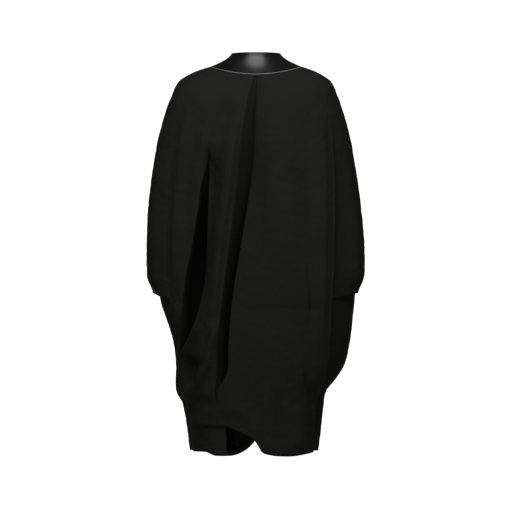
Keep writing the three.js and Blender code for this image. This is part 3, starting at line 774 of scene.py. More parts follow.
hip_fold_depth = smooth_curve([
    (upper(0.08), 0), (upper(0.2), 9), (upper(0.32), 30), (upper(0.5), 56), (upper(0.7), 74),
    (upper(0.9), 82), (lower(0.25), 70), (lower(0.5), 38), (lower(0.66), 0),
])
pleat_depth = smooth_curve([
    (0, 3), (yoke(0.4), 18), (yoke(1), 34), (upper(0.4), 50), (upper(1), 72), (lower(0.5), 78),
    (lower(0.8), 62), (lower(1.0), 14), (skirt(0.2), 0),
])


def wing_groove(across):
    """The crease behind the back's right edge, across the sleeve or the side below it."""
    return smoothstep(across, 0, 0.025) * (1 - smoothstep(across, 0.12, 0.55))


def main_sheet():
    """The back and both sleeves in one sheet, with the hip fold and the pleat.

    Returns the sheet, its points, the strip of each column and the row of the cuffs.
    """
    rulings = [
        sleeve_front_left, sleeve_back_left, on_back(hip_fold_left_x),
        on_back(lambda level: hip_fold_left_x(level) + hip_fold_width(level)),
        on_back(pleat_left_x), on_back(lambda level: pleat_left_x(level) + pleat_width(level)),
        sleeve_back_right, sleeve_front_right,
    ]
    columns = strip_columns(MAIN_CELLS)
    strip = np.array([k for k, _ in columns])
    share = np.array([s for _, s in columns])
    base = level_rows(0, CUFF_LEVEL, OUTER_HEM_LEVEL)
    below = int(round((HEM_LEVEL - OUTER_HEM_LEVEL) / ROW_STEP))
    levels = np.tile(np.concatenate([base, np.zeros(below)]), (len(columns), 1))

    # the last rows run down to the hem, which isn't level, and the first starts at the seam
    probe = np.full((len(columns), 1), float(OUTER_HEM_LEVEL))
    hem_x = ring_point(column_angles(rulings, columns, probe), probe)[:, 0, 0]
    hem = outer_hem(hem_x)
    split = len(base) - below
    for j in range(split, len(base) + below):
        t = (j - split + 1) / (2 * below)
        levels[:, j] = mix(base[split - 1], hem, t)
    cuff_row = int(np.argmin(np.abs(base - CUFF_LEVEL)))
    for k in (LEFT_SLEEVE, RIGHT_SLEEVE):
        mine = strip == k
        near_cuff = smoothstep(levels[mine, :cuff_row + 1], SHOULDER_LEVEL, CUFF_LEVEL)
        slant = CUFF_SLANT * np.sin(np.pi * share[mine])[:, None]
        levels[mine, :cuff_row + 1] -= near_cuff * slant
    top_angle = column_angles(rulings, columns, levels[:, :1])[:, 0]
    levels[:, 0] = seam_top(top_angle)
    angles = column_angles(rulings, columns, levels)
    points = ring_point(angles, levels)

    # sleeves stand out from the body
    for k, side in ((LEFT_SLEEVE, "left"), (RIGHT_SLEEVE, "right")):
        mine = (strip == k)[:, None]
        fullness = SLEEVE_FULLNESS[side] * sleeve_fullness(levels)
        fullness -= CUFF_TAPER * smoothstep(levels, CUFF_LEVEL - 62, CUFF_LEVEL - CUFF_SLANT)
        bulge = fullness * np.sin(np.pi * share)[:, None]
        points[..., 0] += np.where(mine, np.sign(points[..., 0]) * bulge, 0)

    x = points[..., 0].copy()
    inward = -surface_normals(points)
    inward[..., 2] = 0
    depth = np.zeros(levels.shape)
    slide = np.zeros(levels.shape)
    for k, section, fold_depth, fold_width in (
        (HIP_FOLD, tucked_fold, hip_fold_depth, hip_fold_width),
        (PLEAT, boxed_fold, pleat_depth, pleat_width),
    ):
        mine = strip == k
        across, deep = section(share[mine])
        width = fold_width(levels[mine])
        size = fold_depth(levels[mine])
        depth[mine] += deep[:, None] * size
        formed = np.clip(size / FORMED_DEPTH, 0, 1)
        slide[mine] += (across - share[mine])[:, None] * width * formed
    in_sleeves = np.isin(strip, (LEFT_SLEEVE, RIGHT_SLEEVE))
    on_the_back = ~in_sleeves
    edge = np.ones(len(columns))
    edge[strip == BACK_LEFT] = smoothstep(share[strip == BACK_LEFT], 0, 0.4)
    edge[strip == BACK_RIGHT] = 1 - smoothstep(share[strip == BACK_RIGHT], 0.85, 1)
    stand = np.zeros(levels.shape)
    stand[on_the_back] = soft_folds(x[on_the_back], levels[on_the_back], BACK_FOLDS)
    stand *= edge[:, None]

    # an inner layer ends level with the cuffs and shows as a faint step
    step = smoothstep(levels, SEAM_LINE_LEVEL - 4, SEAM_LINE_LEVEL + 4)
    inside = smoothstep(x, SEAM_LINE_FROM_X, SEAM_LINE_FROM_X + 12)
    inside *= 1 - smoothstep(x, SEAM_LINE_TO_X - 30, SEAM_LINE_TO_X)
    fade = 1 - smoothstep(levels, SEAM_LINE_LEVEL + 3, SEAM_LINE_LEVEL + 90)
    stand -= np.where(on_the_back[:, None], SEAM_STEP * step * inside * fade, 0)

    # the right sleeve lies a little behind the edge of the back
    behind = WING_DEPTH * smoothstep(levels, 60, 420)
    depth += behind * np.where(strip == RIGHT_SLEEVE, wing_groove(share), 0)[:, None]
    # sleeves fall in long soft folds that fade at their seams
    for k, phase in ((LEFT_SLEEVE, 1.0), (RIGHT_SLEEVE, 2.0)):
        mine = strip == k
        across = share[mine][:, None]
        drop = smoothstep(levels[mine], 120, 560)
        wave = np.sin(np.pi * (3.2 * across + 0.35 * np.sin(levels[mine] / 170 + phase)))
        stand[mine] += SLEEVE_WAVE * wave * drop * np.sin(np.pi * across) ** 1.2
    stand += LONG_UNEVENNESS * hand_noise(points, 1 / 70, 4)
    stand += SHORT_UNEVENNESS * hand_noise(points, 1 / 22, 9)
    points += inward * (depth - stand)[..., None]
    points[..., 0] += slide

    whole = turned_hem(points)

    def keep(i, j):
        return not in_sleeves[i] or j < cuff_row

    held = hold_edges(*whole.shape[:2])
    # the sleeves keep their hems, and the deep folds keep most of their shape
    from_cuff = np.abs(np.arange(whole.shape[1]) - cuff_row)[None, :]
    near_cuff = 1 - np.clip(from_cuff / CUFF_FIRM_REACH, 0, 1)
    held = np.where(in_sleeves[:, None], np.maximum(held, FIRM * near_cuff), held)
    in_folds = np.isin(strip, (HIP_FOLD, PLEAT))[:, None]
    held = np.where(in_folds, np.maximum(held, FOLDED), held)
    hem_row = np.where(in_sleeves, cuff_row, points.shape[1] - 1)
    seams = [int(np.argmax(strip == k)) for k in (BACK_LEFT, RIGHT_SLEEVE)]
    # painted shade: cloth in and beside the deep folds is coloured darker, towards the painted shade colour,
    # for the shade inside the folds
    formed = np.clip(hip_fold_depth(levels) / FORMED_DEPTH, 0, 1)
    from_fold = (1 - smoothstep(share, 0, 0.75))[:, None]
    from_pleat = (1 - smoothstep(share, 0, 0.17))[:, None]
    high_up = 1 - smoothstep(levels, 240, 420)
    deep = np.zeros(levels.shape)
    for k, painted_shade_share in (
        (HIP_FOLD, np.clip(depth / 45, 0, 1)),
        (BETWEEN_FOLDS, BETWEEN_FOLDS_PAINTED_SHADE * formed * from_fold),
        (PLEAT, PLEAT_PAINTED_SHADE * np.clip(depth / 50, 0, 1)),
        (BACK_RIGHT, BESIDE_PLEAT_PAINTED_SHADE * from_pleat * high_up),
    ):
        deep[strip == k] = painted_shade_share[strip == k]
    deep = np.concatenate([deep, deep[:, ::-1][:, :whole.shape[1] - deep.shape[1]]], axis=1)
    sheet = grid_object("cape_main_cloth", whole, keep, held, {
        "hem_place": hem_place(whole, hem_row), "edge_place": edge_place(whole, seams),
        "painted_shade": np.stack([deep] * 3, axis=-1),
    })
    return sheet, points, strip, cuff_row


main_cloth, main_points, main_strip, main_cuff_row = main_sheet()
thicken(main_cloth, CLOTH)
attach(main_cloth, "shell")
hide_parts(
    "back_panel_left", "back_panel_right", "pleat_underlay", "sleeve_left",
    "sleeve_right",
)
cloth_pieces, facing_pieces = [], []


# ------------------------------------------------------------------ other cloth panels


def plain_panel(name, rulings, cells, top, bottom, shape, firm_columns=None):
    """A panel between rulings. top and bottom are functions of angle and x. shape moves points."""
    columns = strip_columns(cells)
    probe = np.full((len(columns), 1), float(HIP_LEVEL))
    angle = column_angles(rulings, columns, probe)
    start = np.array([top(a) for a in column_angles(rulings, columns, 0 * probe)[:, 0]])
    end = bottom(ring_point(angle, probe)[:, 0, 0])
    rows = int(round((np.max(end) - np.min(start)) / ROW_STEP))
    t = np.linspace(0, 1, rows + 1)
    levels = start[:, None] + (end - start)[:, None] * t[None, :]
    angles = column_angles(rulings, columns, levels)
    points = ring_point(angles, levels)
    shares = np.array([(k + s) / (len(rulings) - 1) for k, s in columns])
    points = shape(points, levels, shares)
    whole = turned_hem(points)
    held = hold_edges(*whole.shape[:2])
    if firm_columns is not None:
        held[firm_columns] = FIRM
    hem_row = np.full(len(points), points.shape[1] - 1)
    sheet = grid_object(name, whole, held=held, marks={
        "hem_place": hem_place(whole, hem_row), "edge_place": edge_place(whole, (0, -1)),
    })
    thicken(sheet, CLOTH)
    return sheet, points


def stand_out(points, amount):
    normals = surface_normals(points)
    return points + normals * amount[..., None]


def level_at(level):
    return lambda angle: float(level)


def side_shape(side):
    def shape(points, levels, shares):
        across = shares[:, None]
        drop = smoothstep(levels, CUFF_LEVEL, HIP_LEVEL)
        wave = np.sin(np.pi * (2.4 * across + levels / 260))
        amount = SIDE_WAVE * wave * drop * np.sin(np.pi * across) ** 1.1
        amount += PANEL_UNEVENNESS * hand_noise(points, 1 / 60, 3) * np.sin(np.pi * across)
        if side == "left":
            # its back edge lies flush with the underlap
            at_underlap = smoothstep(levels, 905, 930) * smoothstep(across, 0.88, 1)
            amount -= UNDERLAP_INSET_LEFT * at_underlap
        else:
            amount -= WING_DEPTH * wing_groove(across)
        return stand_out(points, amount)

    return shape


for side, seams in (
    ("left", [sleeve_front_left, sleeve_back_left]),
    ("right", [sleeve_back_right, sleeve_front_right]),
):
    panel, _ = plain_panel(
        f"side_cloth_{side}", seams, [SIDE_CELLS], level_at(CUFF_LEVEL - UNDER_CUFF), side_hem,
        side_shape(side),
    )
    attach(panel, "shell")
    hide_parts(f"side_panel_{side}")
    cloth_pieces.append(panel)


# fronts: straight folds that open towards the hem
def front_shape(points, levels, shares):
    across = shares[:, None]
    drop = smoothstep(levels, 60, 900)
    wave = np.sin(np.pi * (5.2 * across + 0.3 * np.sin(levels / 210)))
    amount = FRONT_WAVE * wave * drop * np.sin(np.pi * across) ** 0.8
    amount += PANEL_UNEVENNESS * hand_noise(points, 1 / 60, 6) * np.sin(np.pi * across)
    return stand_out(points, amount)


def open_with_front(piece, side):
    """The piece bends between the shell and that front, along the same band as all its layers."""
    sign = -1 if side == "left" else 1
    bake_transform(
        piece, "shell", f"front_{side}", start=(sign * BEND_START_X, 0, 0),
        end=(sign * BEND_END_X, BEND_END_Y, 0),
    )


def seam_start(angle):
    return float(seam_top(np.array([angle]))[0])


front_edge = {"left": flat_angle(-180 + FRONT_TRIM), "right": flat_angle(180 - FRONT_TRIM)}
front_edge_columns = {
    "left": slice(None, FACING_COLUMNS + 2), "right": slice(-FACING_COLUMNS - 2, None),
}
front_points = {}
for side, seams in (
    ("left", [front_edge["left"], sleeve_front_left]),
    ("right", [sleeve_front_right, front_edge["right"]]),
):
    panel, front_points[side] = plain_panel(
        f"front_cloth_{side}", seams, [FRONT_CELLS], seam_start, front_hem, front_shape,
        firm_columns=front_edge_columns[side],
    )
    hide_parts(f"front_panel_{side}", f"front_flap_{side}")
    open_with_front(panel, side)
    cloth_pieces.append(panel)

# facings along the front edges follow the fronts' own folds
for side, points in front_points.items():
    strip_of_front = points[:FACING_COLUMNS] if side == "left" else points[-FACING_COLUMNS:]
    inner = strip_of_front - surface_normals(strip_of_front) * FACING_INSET
    facing = grid_object(f"front_facing_cloth_{side}", inner[:, :-HEM_ROWS])
    thicken(facing, FACING)
    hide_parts(f"front_facing_{side}")
    open_with_front(facing, side)
    facing_pieces.append(facing)

# ------------------------------------------------------------------ cuffs and underlap

for side, strip_number in (("left", LEFT_SLEEVE), ("right", RIGHT_SLEEVE)):
    of_sleeve = main_points[main_strip == strip_number]
    end_column = np.nonzero(main_strip == strip_number)[0][-1] + 1
    of_sleeve = np.concatenate([of_sleeve, main_points[end_column:end_column + 1]])
    normals = surface_normals(of_sleeve)
    rows = [of_sleeve[:, main_cuff_row] - normals[:, main_cuff_row] * CLOTH / 2]
    for k in range(CUFF_ROWS):
        inner = of_sleeve[:, main_cuff_row - k] - normals[:, main_cuff_row - k] * FACING_INSET
        rows.append(inner)
    cuff = grid_object(f"cuff_cloth_{side}", np.stack(rows, axis=1))
    thicken(cuff, FACING)
    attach(cuff, "shell")
    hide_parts(f"cuff_facing_{side}")
    facing_pieces.append(cuff)


def underlap_shape(points, levels, shares):
    inset = mix(UNDERLAP_INSET_LEFT, UNDERLAP_INSET, smoothstep(shares, 0, 0.4))[:, None]
    points = stand_out(points, -inset + 0 * levels)
    wave = np.sin(np.pi * (3.1 * shares[:, None] + 0.4))
    return stand_out(points, UNDERLAP_WAVE * wave * smoothstep(levels, 860, 1000))


underlap, _ = plain_panel(
    "underlap_cloth",
    [lambda level: sleeve_back_left(level) - UNDERLAP_WRAP, on_back(underlap_x)], [UNDERLAP_CELLS],
    level_at(OUTER_HEM_LEVEL - 75), underlap_hem, underlap_shape,
)
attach(underlap, "shell")
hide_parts("back_underlap")
cloth_pieces.append(underlap)

# ------------------------------------------------------------------ collar


def collar_point(angle, share):
    """A place on the collar: share 0 is its top edge, and 1 its seam with the cloth."""
    angle, share = np.broadcast_arrays(np.asarray(angle, float), np.asarray(share, float))
    across = np.sin(angle * DEGREE)
    along = np.cos(angle * DEGREE)
    front = np.maximum(-along, 0) ** 2

    def ring(width, back, fore, height):
        depth = np.where(along > 0, back, fore)
        return np.stack([width * across, -depth * along, height], axis=-1)

    top = ring(TOP_HALF_WIDTH, TOP_BACK, TOP_FRONT, TOP_HEIGHT - TOP_FRONT_DROP * front)
    seam_height = SEAM_SIDE_RISE * across**2 - SEAM_FRONT_DROP * front
    seam = ring(SEAM_HALF_WIDTH, SEAM_BACK, SEAM_FRONT, seam_height)
    knee_height = seam_height + KNEE_HEIGHT * (1 - KNEE_SIDE_DROP * across**2)
    knee = ring(KNEE_HALF_WIDTH, KNEE_BACK, KNEE_FRONT, knee_height)
    t = share[..., None]
    return (1 - t) ** 2 * top + 2 * t * (1 - t) * knee + t**2 * seam


def collar_normal(angle, share):
    round_the_neck = collar_point(angle + 0.5, share) - collar_point(angle - 0.5, share)
    down = collar_point(angle, share + 0.02) - collar_point(angle, share - 0.02)
    normal = np.cross(down, round_the_neck)
    return normal / np.linalg.norm(normal, axis=-1, keepdims=True)


def collar_grid(start, end, low, high, rows, inset):
    """A grid of points on the collar between two angles and two shares, inset from its skin."""
    columns = int(round((end - start) / COLLAR_STEP))
    angle, share = np.meshgrid(
        np.linspace(start, end, columns + 1), np.linspace(low, high, rows + 1), indexing="ij",
    )
    points = collar_point(angle, share)
    dents = COLLAR_DENTS * hand_noise(points, 1 / 34, 2) * np.sin(np.pi * np.clip(share, 0, 1))
    return points + collar_normal(angle, share) * (dents - inset)[..., None]


def with_lip(grid, start, end):
    """Turns the collar's top edge over to the inside, in a rounded lip."""
    angle = np.linspace(start, end, grid.shape[0])
    normal = collar_normal(angle, np.zeros_like(angle))
    up = collar_point(angle, -0.02 + 0 * angle) - collar_point(angle, 0.02 + 0 * angle)
    up /= np.linalg.norm(up, axis=-1, keepdims=True)
    rows = []
    for k in range(1, LIP_STEPS + 1):
        turn = np.pi * k / LIP_STEPS
        rows.append(grid[:, 0] + up * LIP_RADIUS * np.sin(turn)
                    - normal * LIP_RADIUS * (1 - np.cos(turn)))
    rows.append(rows[-1] - up * LIP_DEPTH)
    return np.concatenate([np.stack(rows[::-1], axis=1), grid], axis=1)


collar_runs = [
    ("left", -COLLAR_END_ANGLE, -COLLAR_SPLIT), ("back", -COLLAR_SPLIT, COLLAR_SPLIT),
    ("right", COLLAR_SPLIT, COLLAR_END_ANGLE),
]


def place_on_collar(piece, part):
    if part == "back":
        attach(piece, "shell")
    else:
        open_with_front(piece, part)


def piping_tube(start, end):
    """A tube round the collar's seam, as a grid that closes on itself."""
    steps = int(round((end - start) / PIPING_STEP))
    angle = np.linspace(start, end, steps + 1)
    per_level = np.linalg.norm(
        ring_point(angle, np.full_like(angle, 0.5)) - ring_point(angle, 0 * angle), axis=-1,
    ) / 0.5
    level = PIPING_OFFSET / per_level
    ahead = ring_point(angle + 0.5, level) - ring_point(angle - 0.5, level)
    ahead /= np.linalg.norm(ahead, axis=-1, keepdims=True)
    down = ring_point(angle, level + 0.5) - ring_point(angle, np.maximum(level - 0.5, 0))
    out = np.cross(down, ahead)
    out /= np.linalg.norm(out, axis=-1, keepdims=True)
    centre = ring_point(angle, level) - out * PIPING_RADIUS * 0.6
    side = np.cross(ahead, out)
    turn = np.linspace(0, 2 * np.pi, PIPING_SIDES + 1)
    rows = [
        centre + PIPING_RADIUS * (out * np.cos(t) + side * np.sin(t)) for t in turn
    ]
    return np.stack(rows, axis=1)


def weld(piece):
    build = bmesh.new()
    build.from_mesh(piece.data)
    bmesh.ops.remove_doubles(build, verts=build.verts, dist=1e-6)
    ends = [e for e in build.edges if e.is_boundary]
    bmesh.ops.holes_fill(build, edges=ends, sides=0)
    bmesh.ops.recalc_face_normals(build, faces=build.faces)
    build.to_mesh(piece.data)
    build.free()
    return piece


collar_pieces, lining_pieces, piping_pieces = [], [], []
for part, start, end in collar_runs:
    skin = with_lip(collar_grid(start, end, 0, 1, COLLAR_ROWS, 0), start, end)
    collar = grid_object(f"collar_cloth_{part}", skin)
    thicken(collar, COLLAR_SKIN)
    collar.data.set_sharp_from_angle(angle=40 * DEGREE)
    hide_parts(f"collar_{part}", f"collar_stiffener_{part}")
    place_on_collar(collar, part)
    collar_pieces.append(collar)

    lining = grid_object(
        f"collar_inside_{part}",
        collar_grid(start, end, 0.05, 0.985, COLLAR_ROWS, COLLAR_LINING_INSET),
    )
    thicken(lining, COLLAR_LINING)
    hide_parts(f"collar_lining_{part}")
    place_on_collar(lining, part)
    lining_pieces.append(lining)

    piping = weld(grid_object(f"collar_piping_{part}", piping_tube(start, end)))
    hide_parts(f"piping_{part}")
    place_on_collar(piping, part)
    piping_pieces.append(piping)

# ------------------------------------------------------------------ neck tab

# the press studs' stack, measured outwards from the collar's skin
SNAP_STACK = 2 * LAYER_GAP + SNAP_FLANGE + SNAP_SOCKET_HEIGHT
TAB_LINING_BASE = SNAP_STACK + LAYER_GAP
TAB_SKIN_BASE = TAB_LINING_BASE + TAB_LINING + LAYER_GAP


def tab_grid(base, margin):
    share = np.linspace(0, 1, TAB_COLUMNS + 1)
    angle = mix(TAB_ROOT_ANGLE, TAB_TIP_ANGLE, share)
    past = np.clip((share - TAB_TIP_START) / (1 - TAB_TIP_START), 0, 0.98)
    narrowing = 1 - TAB_TIP_NARROWING * (1 - np.sqrt(1 - past**2))
    middle = (TAB_LOW + TAB_HIGH) / 2
    reach = (TAB_LOW - TAB_HIGH) / 2 * narrowing - margin
    across = np.linspace(-1, 1, TAB_ROWS + 1)
    on_collar = middle + reach[:, None] * across[None, :]
    angles = np.broadcast_to(angle[:, None], on_collar.shape)
    lift = mix(0, LAYER_GAP - TAB_LINING_BASE, 1 - smoothstep(share, 0, 0.5))
    crown = TAB_CROWN * (1 - np.abs(across)[None, :] ** 4)
    out = base + lift[:, None] + crown - TAB_CROWN
    return collar_point(angles, on_collar) + collar_normal(angles, on_collar) * out[..., None]


tab_skin = grid_object("neck_tab_cloth", tab_grid(TAB_SKIN_BASE + TAB_SKIN, 0)[::-1])
thicken(tab_skin, TAB_SKIN)
tab_skin.data.set_sharp_from_angle(angle=50 * DEGREE)
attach(tab_skin, "tab")
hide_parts("neck_tab")
collar_pieces.append(tab_skin)

tab_lining = grid_object("neck_tab_inside", tab_grid(TAB_LINING_BASE + TAB_LINING, 0.012)[::-1])
thicken(tab_lining, TAB_LINING)
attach(tab_lining, "tab")
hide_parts("neck_tab_lining")
lining_pieces.append(tab_lining)

# ------------------------------------------------------------------ hanger loop and label


def rounded_strap(centre, width_direction, face_direction, width, thickness):
    """A strap with rounded edges along a line of points, as a grid that closes on itself."""
    turn = np.linspace(0, 2 * np.pi, STRAP_SIDES + 1)
    rows = []
    for t in turn:
        across = np.sign(np.cos(t)) * abs(np.cos(t)) ** 0.5 * width / 2
        deep = np.sign(np.sin(t)) * abs(np.sin(t)) ** 0.7 * thickness / 2
        rows.append(centre + width_direction * across + face_direction * deep)
    return np.stack(rows, axis=1)


loop_low, loop_high = (np.array(v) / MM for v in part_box("hanger_loop"))
loop_y = (loop_low[1] + loop_high[1]) / 2
straight = LOOP_DROP - LOOP_CORNER
arc = LOOP_HALF_WIDTH - LOOP_CORNER


def loop_corner(side, first, last):
    """Points round one lower corner of the loop, between two angles."""
    return [
        (side * (arc + LOOP_CORNER * math.cos(a * DEGREE)),
         -straight - LOOP_CORNER * math.sin(a * DEGREE))
        for a in np.linspace(first, last, 14, endpoint=False)
    ]


path = np.array(
    [(-LOOP_HALF_WIDTH, -t) for t in np.linspace(0, straight, 12, endpoint=False)]
    + loop_corner(-1, 0, 90)
    + [(x, -LOOP_DROP) for x in np.linspace(-arc, arc, 14, endpoint=False)]
    + loop_corner(1, 90, 0)
    + [(LOOP_HALF_WIDTH, -t) for t in np.linspace(straight, 0, 13)]
)
centre = np.stack([path[:, 0], np.full(len(path), loop_y), loop_high[2] + path[:, 1]
                   + LOOP_STRAP_WIDTH / 2], axis=-1)
centre[:, 2] = np.minimum(centre[:, 2], loop_high[2])
heading = np.gradient(path, axis=0)
heading /= np.linalg.norm(heading, axis=-1, keepdims=True)
width_direction = np.stack([-heading[:, 1], 0 * path[:, 0], heading[:, 0]], axis=-1)
loop = weld(grid_object("hanger_strap", rounded_strap(
    centre, width_direction, np.array([0.0, 1.0, 0.0]), LOOP_STRAP_WIDTH,
    LOOP_STRAP_THICKNESS,
)))
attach(loop, "loop")
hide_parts("hanger_loop")

label_x, label_level = np.meshgrid(
    np.linspace(LABEL_LEFT_X, LABEL_RIGHT_X, 25), np.linspace(LABEL_TOP, LABEL_BOTTOM, 21),
    indexing="ij",
)
label_points = ring_point(angle_at_x(label_x, label_level), label_level)
curl = smoothstep(label_level, LABEL_TOP, LABEL_BOTTOM) ** 2
label_points[..., 1] += LABEL_INSET + 1.6 * curl
label = grid_object("blank_label", label_points)
thicken(label, LABEL_THICKNESS)
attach(label, "shell")
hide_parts("care_label")

# ------------------------------------------------------------------ materials


def new_material(name):
    material = bpy.data.materials.new(name)
    material.use_nodes = True
    tree = material.node_tree
    return material, tree, tree.nodes["Principled BSDF"]


def set_input(tree, node, name, value):
    """Sets an input to a value, or links it to the output of another node."""
    if isinstance(value, bpy.types.NodeSocket):
        tree.links.new(value, node.inputs[name])
    else:
        node.inputs[name].default_value = value


def add_node(tree, kind, settings=None, **inputs):
    made = tree.nodes.new("ShaderNode" + kind)
    for setting, value in (settings or {}).items():
        setattr(made, setting, value)
    for name, value in inputs.items():
        set_input(tree, made, name.replace("_", " ").title(), value)
    return made


def noise_node(tree, place, scale, detail=3.0, roughness=0.5):
    return add_node(
        tree, "TexNoise", vector=place, scale=scale, detail=detail, roughness=roughness,
    ).outputs["Fac"]


def wave_node(tree, place, scale, direction):
    return add_node(
        tree, "TexWave", {"wave_type": "BANDS", "bands_direction": direction}, vector=place,
        scale=scale, distortion=THREAD_DISTORTION,
    ).outputs["Fac"]


def ramp_node(tree, factor, stops):
    made = add_node(tree, "ValToRGB", fac=factor)
    for element, (position, colour) in zip(made.color_ramp.elements, stops):
        element.position = position
        element.color = (*colour, 1)
    return made.outputs["Color"]


def mix_colours(tree, factor, first, second):
    return add_node(
        tree, "Mix", {"data_type": "RGBA"}, factor=factor, a=first, b=(*second, 1),
    ).outputs["Result"]


def maths(tree, operation, first, second=0.0):
    made = add_node(tree, "Math", {"operation": operation})
    set_input(tree, made, 0, first)
    set_input(tree, made, 1, second)
    return made.outputs[0]


def bump(tree, shader, height, strength, distance):
    made = add_node(tree, "Bump", strength=strength, distance=distance, height=height)
    tree.links.new(made.outputs["Normal"], shader.inputs["Normal"])


def object_coordinates(tree):
    return tree.nodes.new("ShaderNodeTexCoord").outputs["Object"]


def ramp_down(tree, value, full, gone):
    """1 up to full, 0 from gone."""
    return add_node(
        tree, "MapRange", {"interpolation_type": "SMOOTHSTEP"}, value=value, from_min=full,
        from_max=gone, to_min=1.0, to_max=0.0,
    ).outputs["Result"]


def stitch_row(tree, place_name, inset):
    """A row of stitches along an edge: the thread, and the dimple it pulls in the cloth."""
    place = add_node(tree, "Attribute", {"attribute_name": place_name}).outputs["Vector"]
    parts = add_node(tree, "SeparateXYZ", vector=place).outputs
    beside = maths(tree, "ABSOLUTE", maths(tree, "SUBTRACT", parts["Y"], inset * MM))
    phase = maths(tree, "FRACT", maths(tree, "DIVIDE", parts["X"], STITCH_PITCH * MM))
    from_middle = maths(tree, "ABSOLUTE", maths(tree, "SUBTRACT", phase, 0.5))
    line = ramp_down(tree, beside, STITCH_HALF_WIDTH * MM * 0.6, STITCH_HALF_WIDTH * MM)
    thread = maths(tree, "MULTIPLY", line, ramp_down(tree, from_middle, *STITCH_END))
    return thread, ramp_down(tree, beside, 0.0, STITCH_DIMPLE * MM)


def woven(name, dark, light, roughness, sheen, threads_per_metre, thread=None):
    """A plain weave: threads both ways, a soft mottle, a light nap, and, with a thread, stitched edges and
    painted shade in the folds and on inner faces.
    """
    material, tree, shader = new_material(name)
    place = object_coordinates(tree)
    # a wave's bands repeat 20 times less often than its scale says
    warp = wave_node(tree, place, threads_per_metre / 20, "X")
    weft = wave_node(tree, place, threads_per_metre / 20, "Z")
    threads = maths(tree, "ADD", warp, weft)
    fuzz = noise_node(tree, place, FUZZ_SCALE, 2)
    mottle = noise_node(tree, place, MOTTLE_SCALE, 5, 0.6)
    slub = noise_node(tree, place, SLUB_SCALE, 3, 0.7)
    tone = maths(tree, "ADD", maths(tree, "MULTIPLY", mottle, 0.6),
                 maths(tree, "MULTIPLY", slub, 0.4))
    colour = ramp_node(tree, tone, [(0.3, dark), (0.7, light)])
    height = maths(tree, "ADD", maths(tree, "MULTIPLY", threads, 0.5), fuzz)
    if thread is not None:
        for row_name, inset in (("hem_place", HEM_STITCH_INSET), ("edge_place", EDGE_STITCH_INSET)):
            sewn, dimple = stitch_row(tree, row_name, inset)
            colour = mix_colours(tree, sewn, colour, thread)
            height = maths(tree, "ADD", height, maths(tree, "MULTIPLY", sewn, STITCH_RELIEF))
            height = maths(tree, "SUBTRACT", height,
                           maths(tree, "MULTIPLY", dimple, STITCH_RELIEF))
        # painted shade: the colour is mixed towards near-black by a per-point mark, darkest in deep folds
        # and on inner faces
        painted_shade = add_node(tree, "Attribute", {"attribute_name": "painted_shade"}).outputs["Fac"]
        colour = mix_colours(tree, painted_shade, colour, PAINTED_SHADE_COLOUR)
    bump(tree, shader, height, WEAVE_BUMP, WEAVE_BUMP_HEIGHT)
    rough = maths(tree, "ADD", roughness - 0.05, maths(tree, "MULTIPLY", slub, 0.1))
    for socket, value in (
        ("Base Color", colour), ("Roughness", rough), ("Specular IOR Level", CLOTH_SPECULAR),
        ("Sheen Weight", sheen), ("Sheen Roughness", 0.5),
    ):
        set_input(tree, shader, socket, value)
    return material


def coated(name, dark, light, roughness):
    """Coated cloth: a fine pebble grain under a smooth gloss, a little duller where it wears."""
    material, tree, shader = new_material(name)
    place = object_coordinates(tree)
    pebbles = add_node(
        tree, "TexVoronoi", {"feature": "SMOOTH_F1"}, scale=PEBBLE_SCALE, vector=place,
    ).outputs["Distance"]
    wear = noise_node(tree, place, WEAR_SCALE, 4, 0.6)
    grain = noise_node(tree, place, GRAIN_SCALE, 2)
    set_input(tree, shader, "Base Color", ramp_node(tree, wear, [(0.35, dark), (0.7, light)]))
    rough = maths(tree, "ADD", roughness, maths(tree, "MULTIPLY", wear, 0.12))
    set_input(tree, shader, "Roughness", rough)
    height = maths(tree, "ADD", pebbles, maths(tree, "MULTIPLY", grain, 0.3))
    bump(tree, shader, height, COATING_BUMP, COATING_BUMP_HEIGHT)
    set_input(tree, shader, "IOR", COATING_IOR)
    return material


cape_cloth = woven(
    "cape_cloth", dark=(0.0082, 0.0082, 0.0073), light=(0.0114, 0.0116, 0.0102), roughness=0.9,
    sheen=0.0, threads_per_metre=1600, thread=(0.02, 0.02, 0.0185),
)
facing_cloth = woven(
    "facing_cloth", dark=(0.006, 0.006, 0.0055), light=(0.009, 0.009, 0.0085), roughness=0.9,
    sheen=0.0, threads_per_metre=1600,
)
strap_cloth = woven(
    "strap_cloth", dark=(0.012, 0.012, 0.012), light=(0.022, 0.022, 0.021), roughness=0.7,
    sheen=0.1, threads_per_metre=900,
)
piping_cloth = woven(
    "piping_cloth", dark=(0.13, 0.125, 0.115), light=(0.19, 0.18, 0.165), roughness=0.65,
    sheen=0.0, threads_per_metre=1400,
)
label_cloth = woven(
    "label_cloth", dark=(0.02, 0.02, 0.02), light=(0.032, 0.032, 0.031), roughness=0.55,
    sheen=0.1, threads_per_metre=2200,
)
lining_cloth = woven(
    "collar_lining", dark=(0.010, 0.010, 0.011), light=(0.017, 0.017, 0.018), roughness=0.6,
    sheen=0.08, threads_per_metre=2000,
)
coated_cloth = coated(
    "coated_cloth", dark=(0.0026, 0.0028, 0.0032), light=(0.005, 0.0052, 0.0056),
    roughness=0.27,
)


def cover(pieces, material):
    for piece in pieces:
        piece.data.materials.clear()
        piece.data.materials.append(material)


cover([main_cloth, *cloth_pieces], cape_cloth)
cover(facing_pieces, facing_cloth)
cover(collar_pieces, coated_cloth)
cover(lining_pieces, lining_cloth)
cover(piping_pieces, piping_cloth)
cover([loop], strap_cloth)
cover([label], label_cloth)

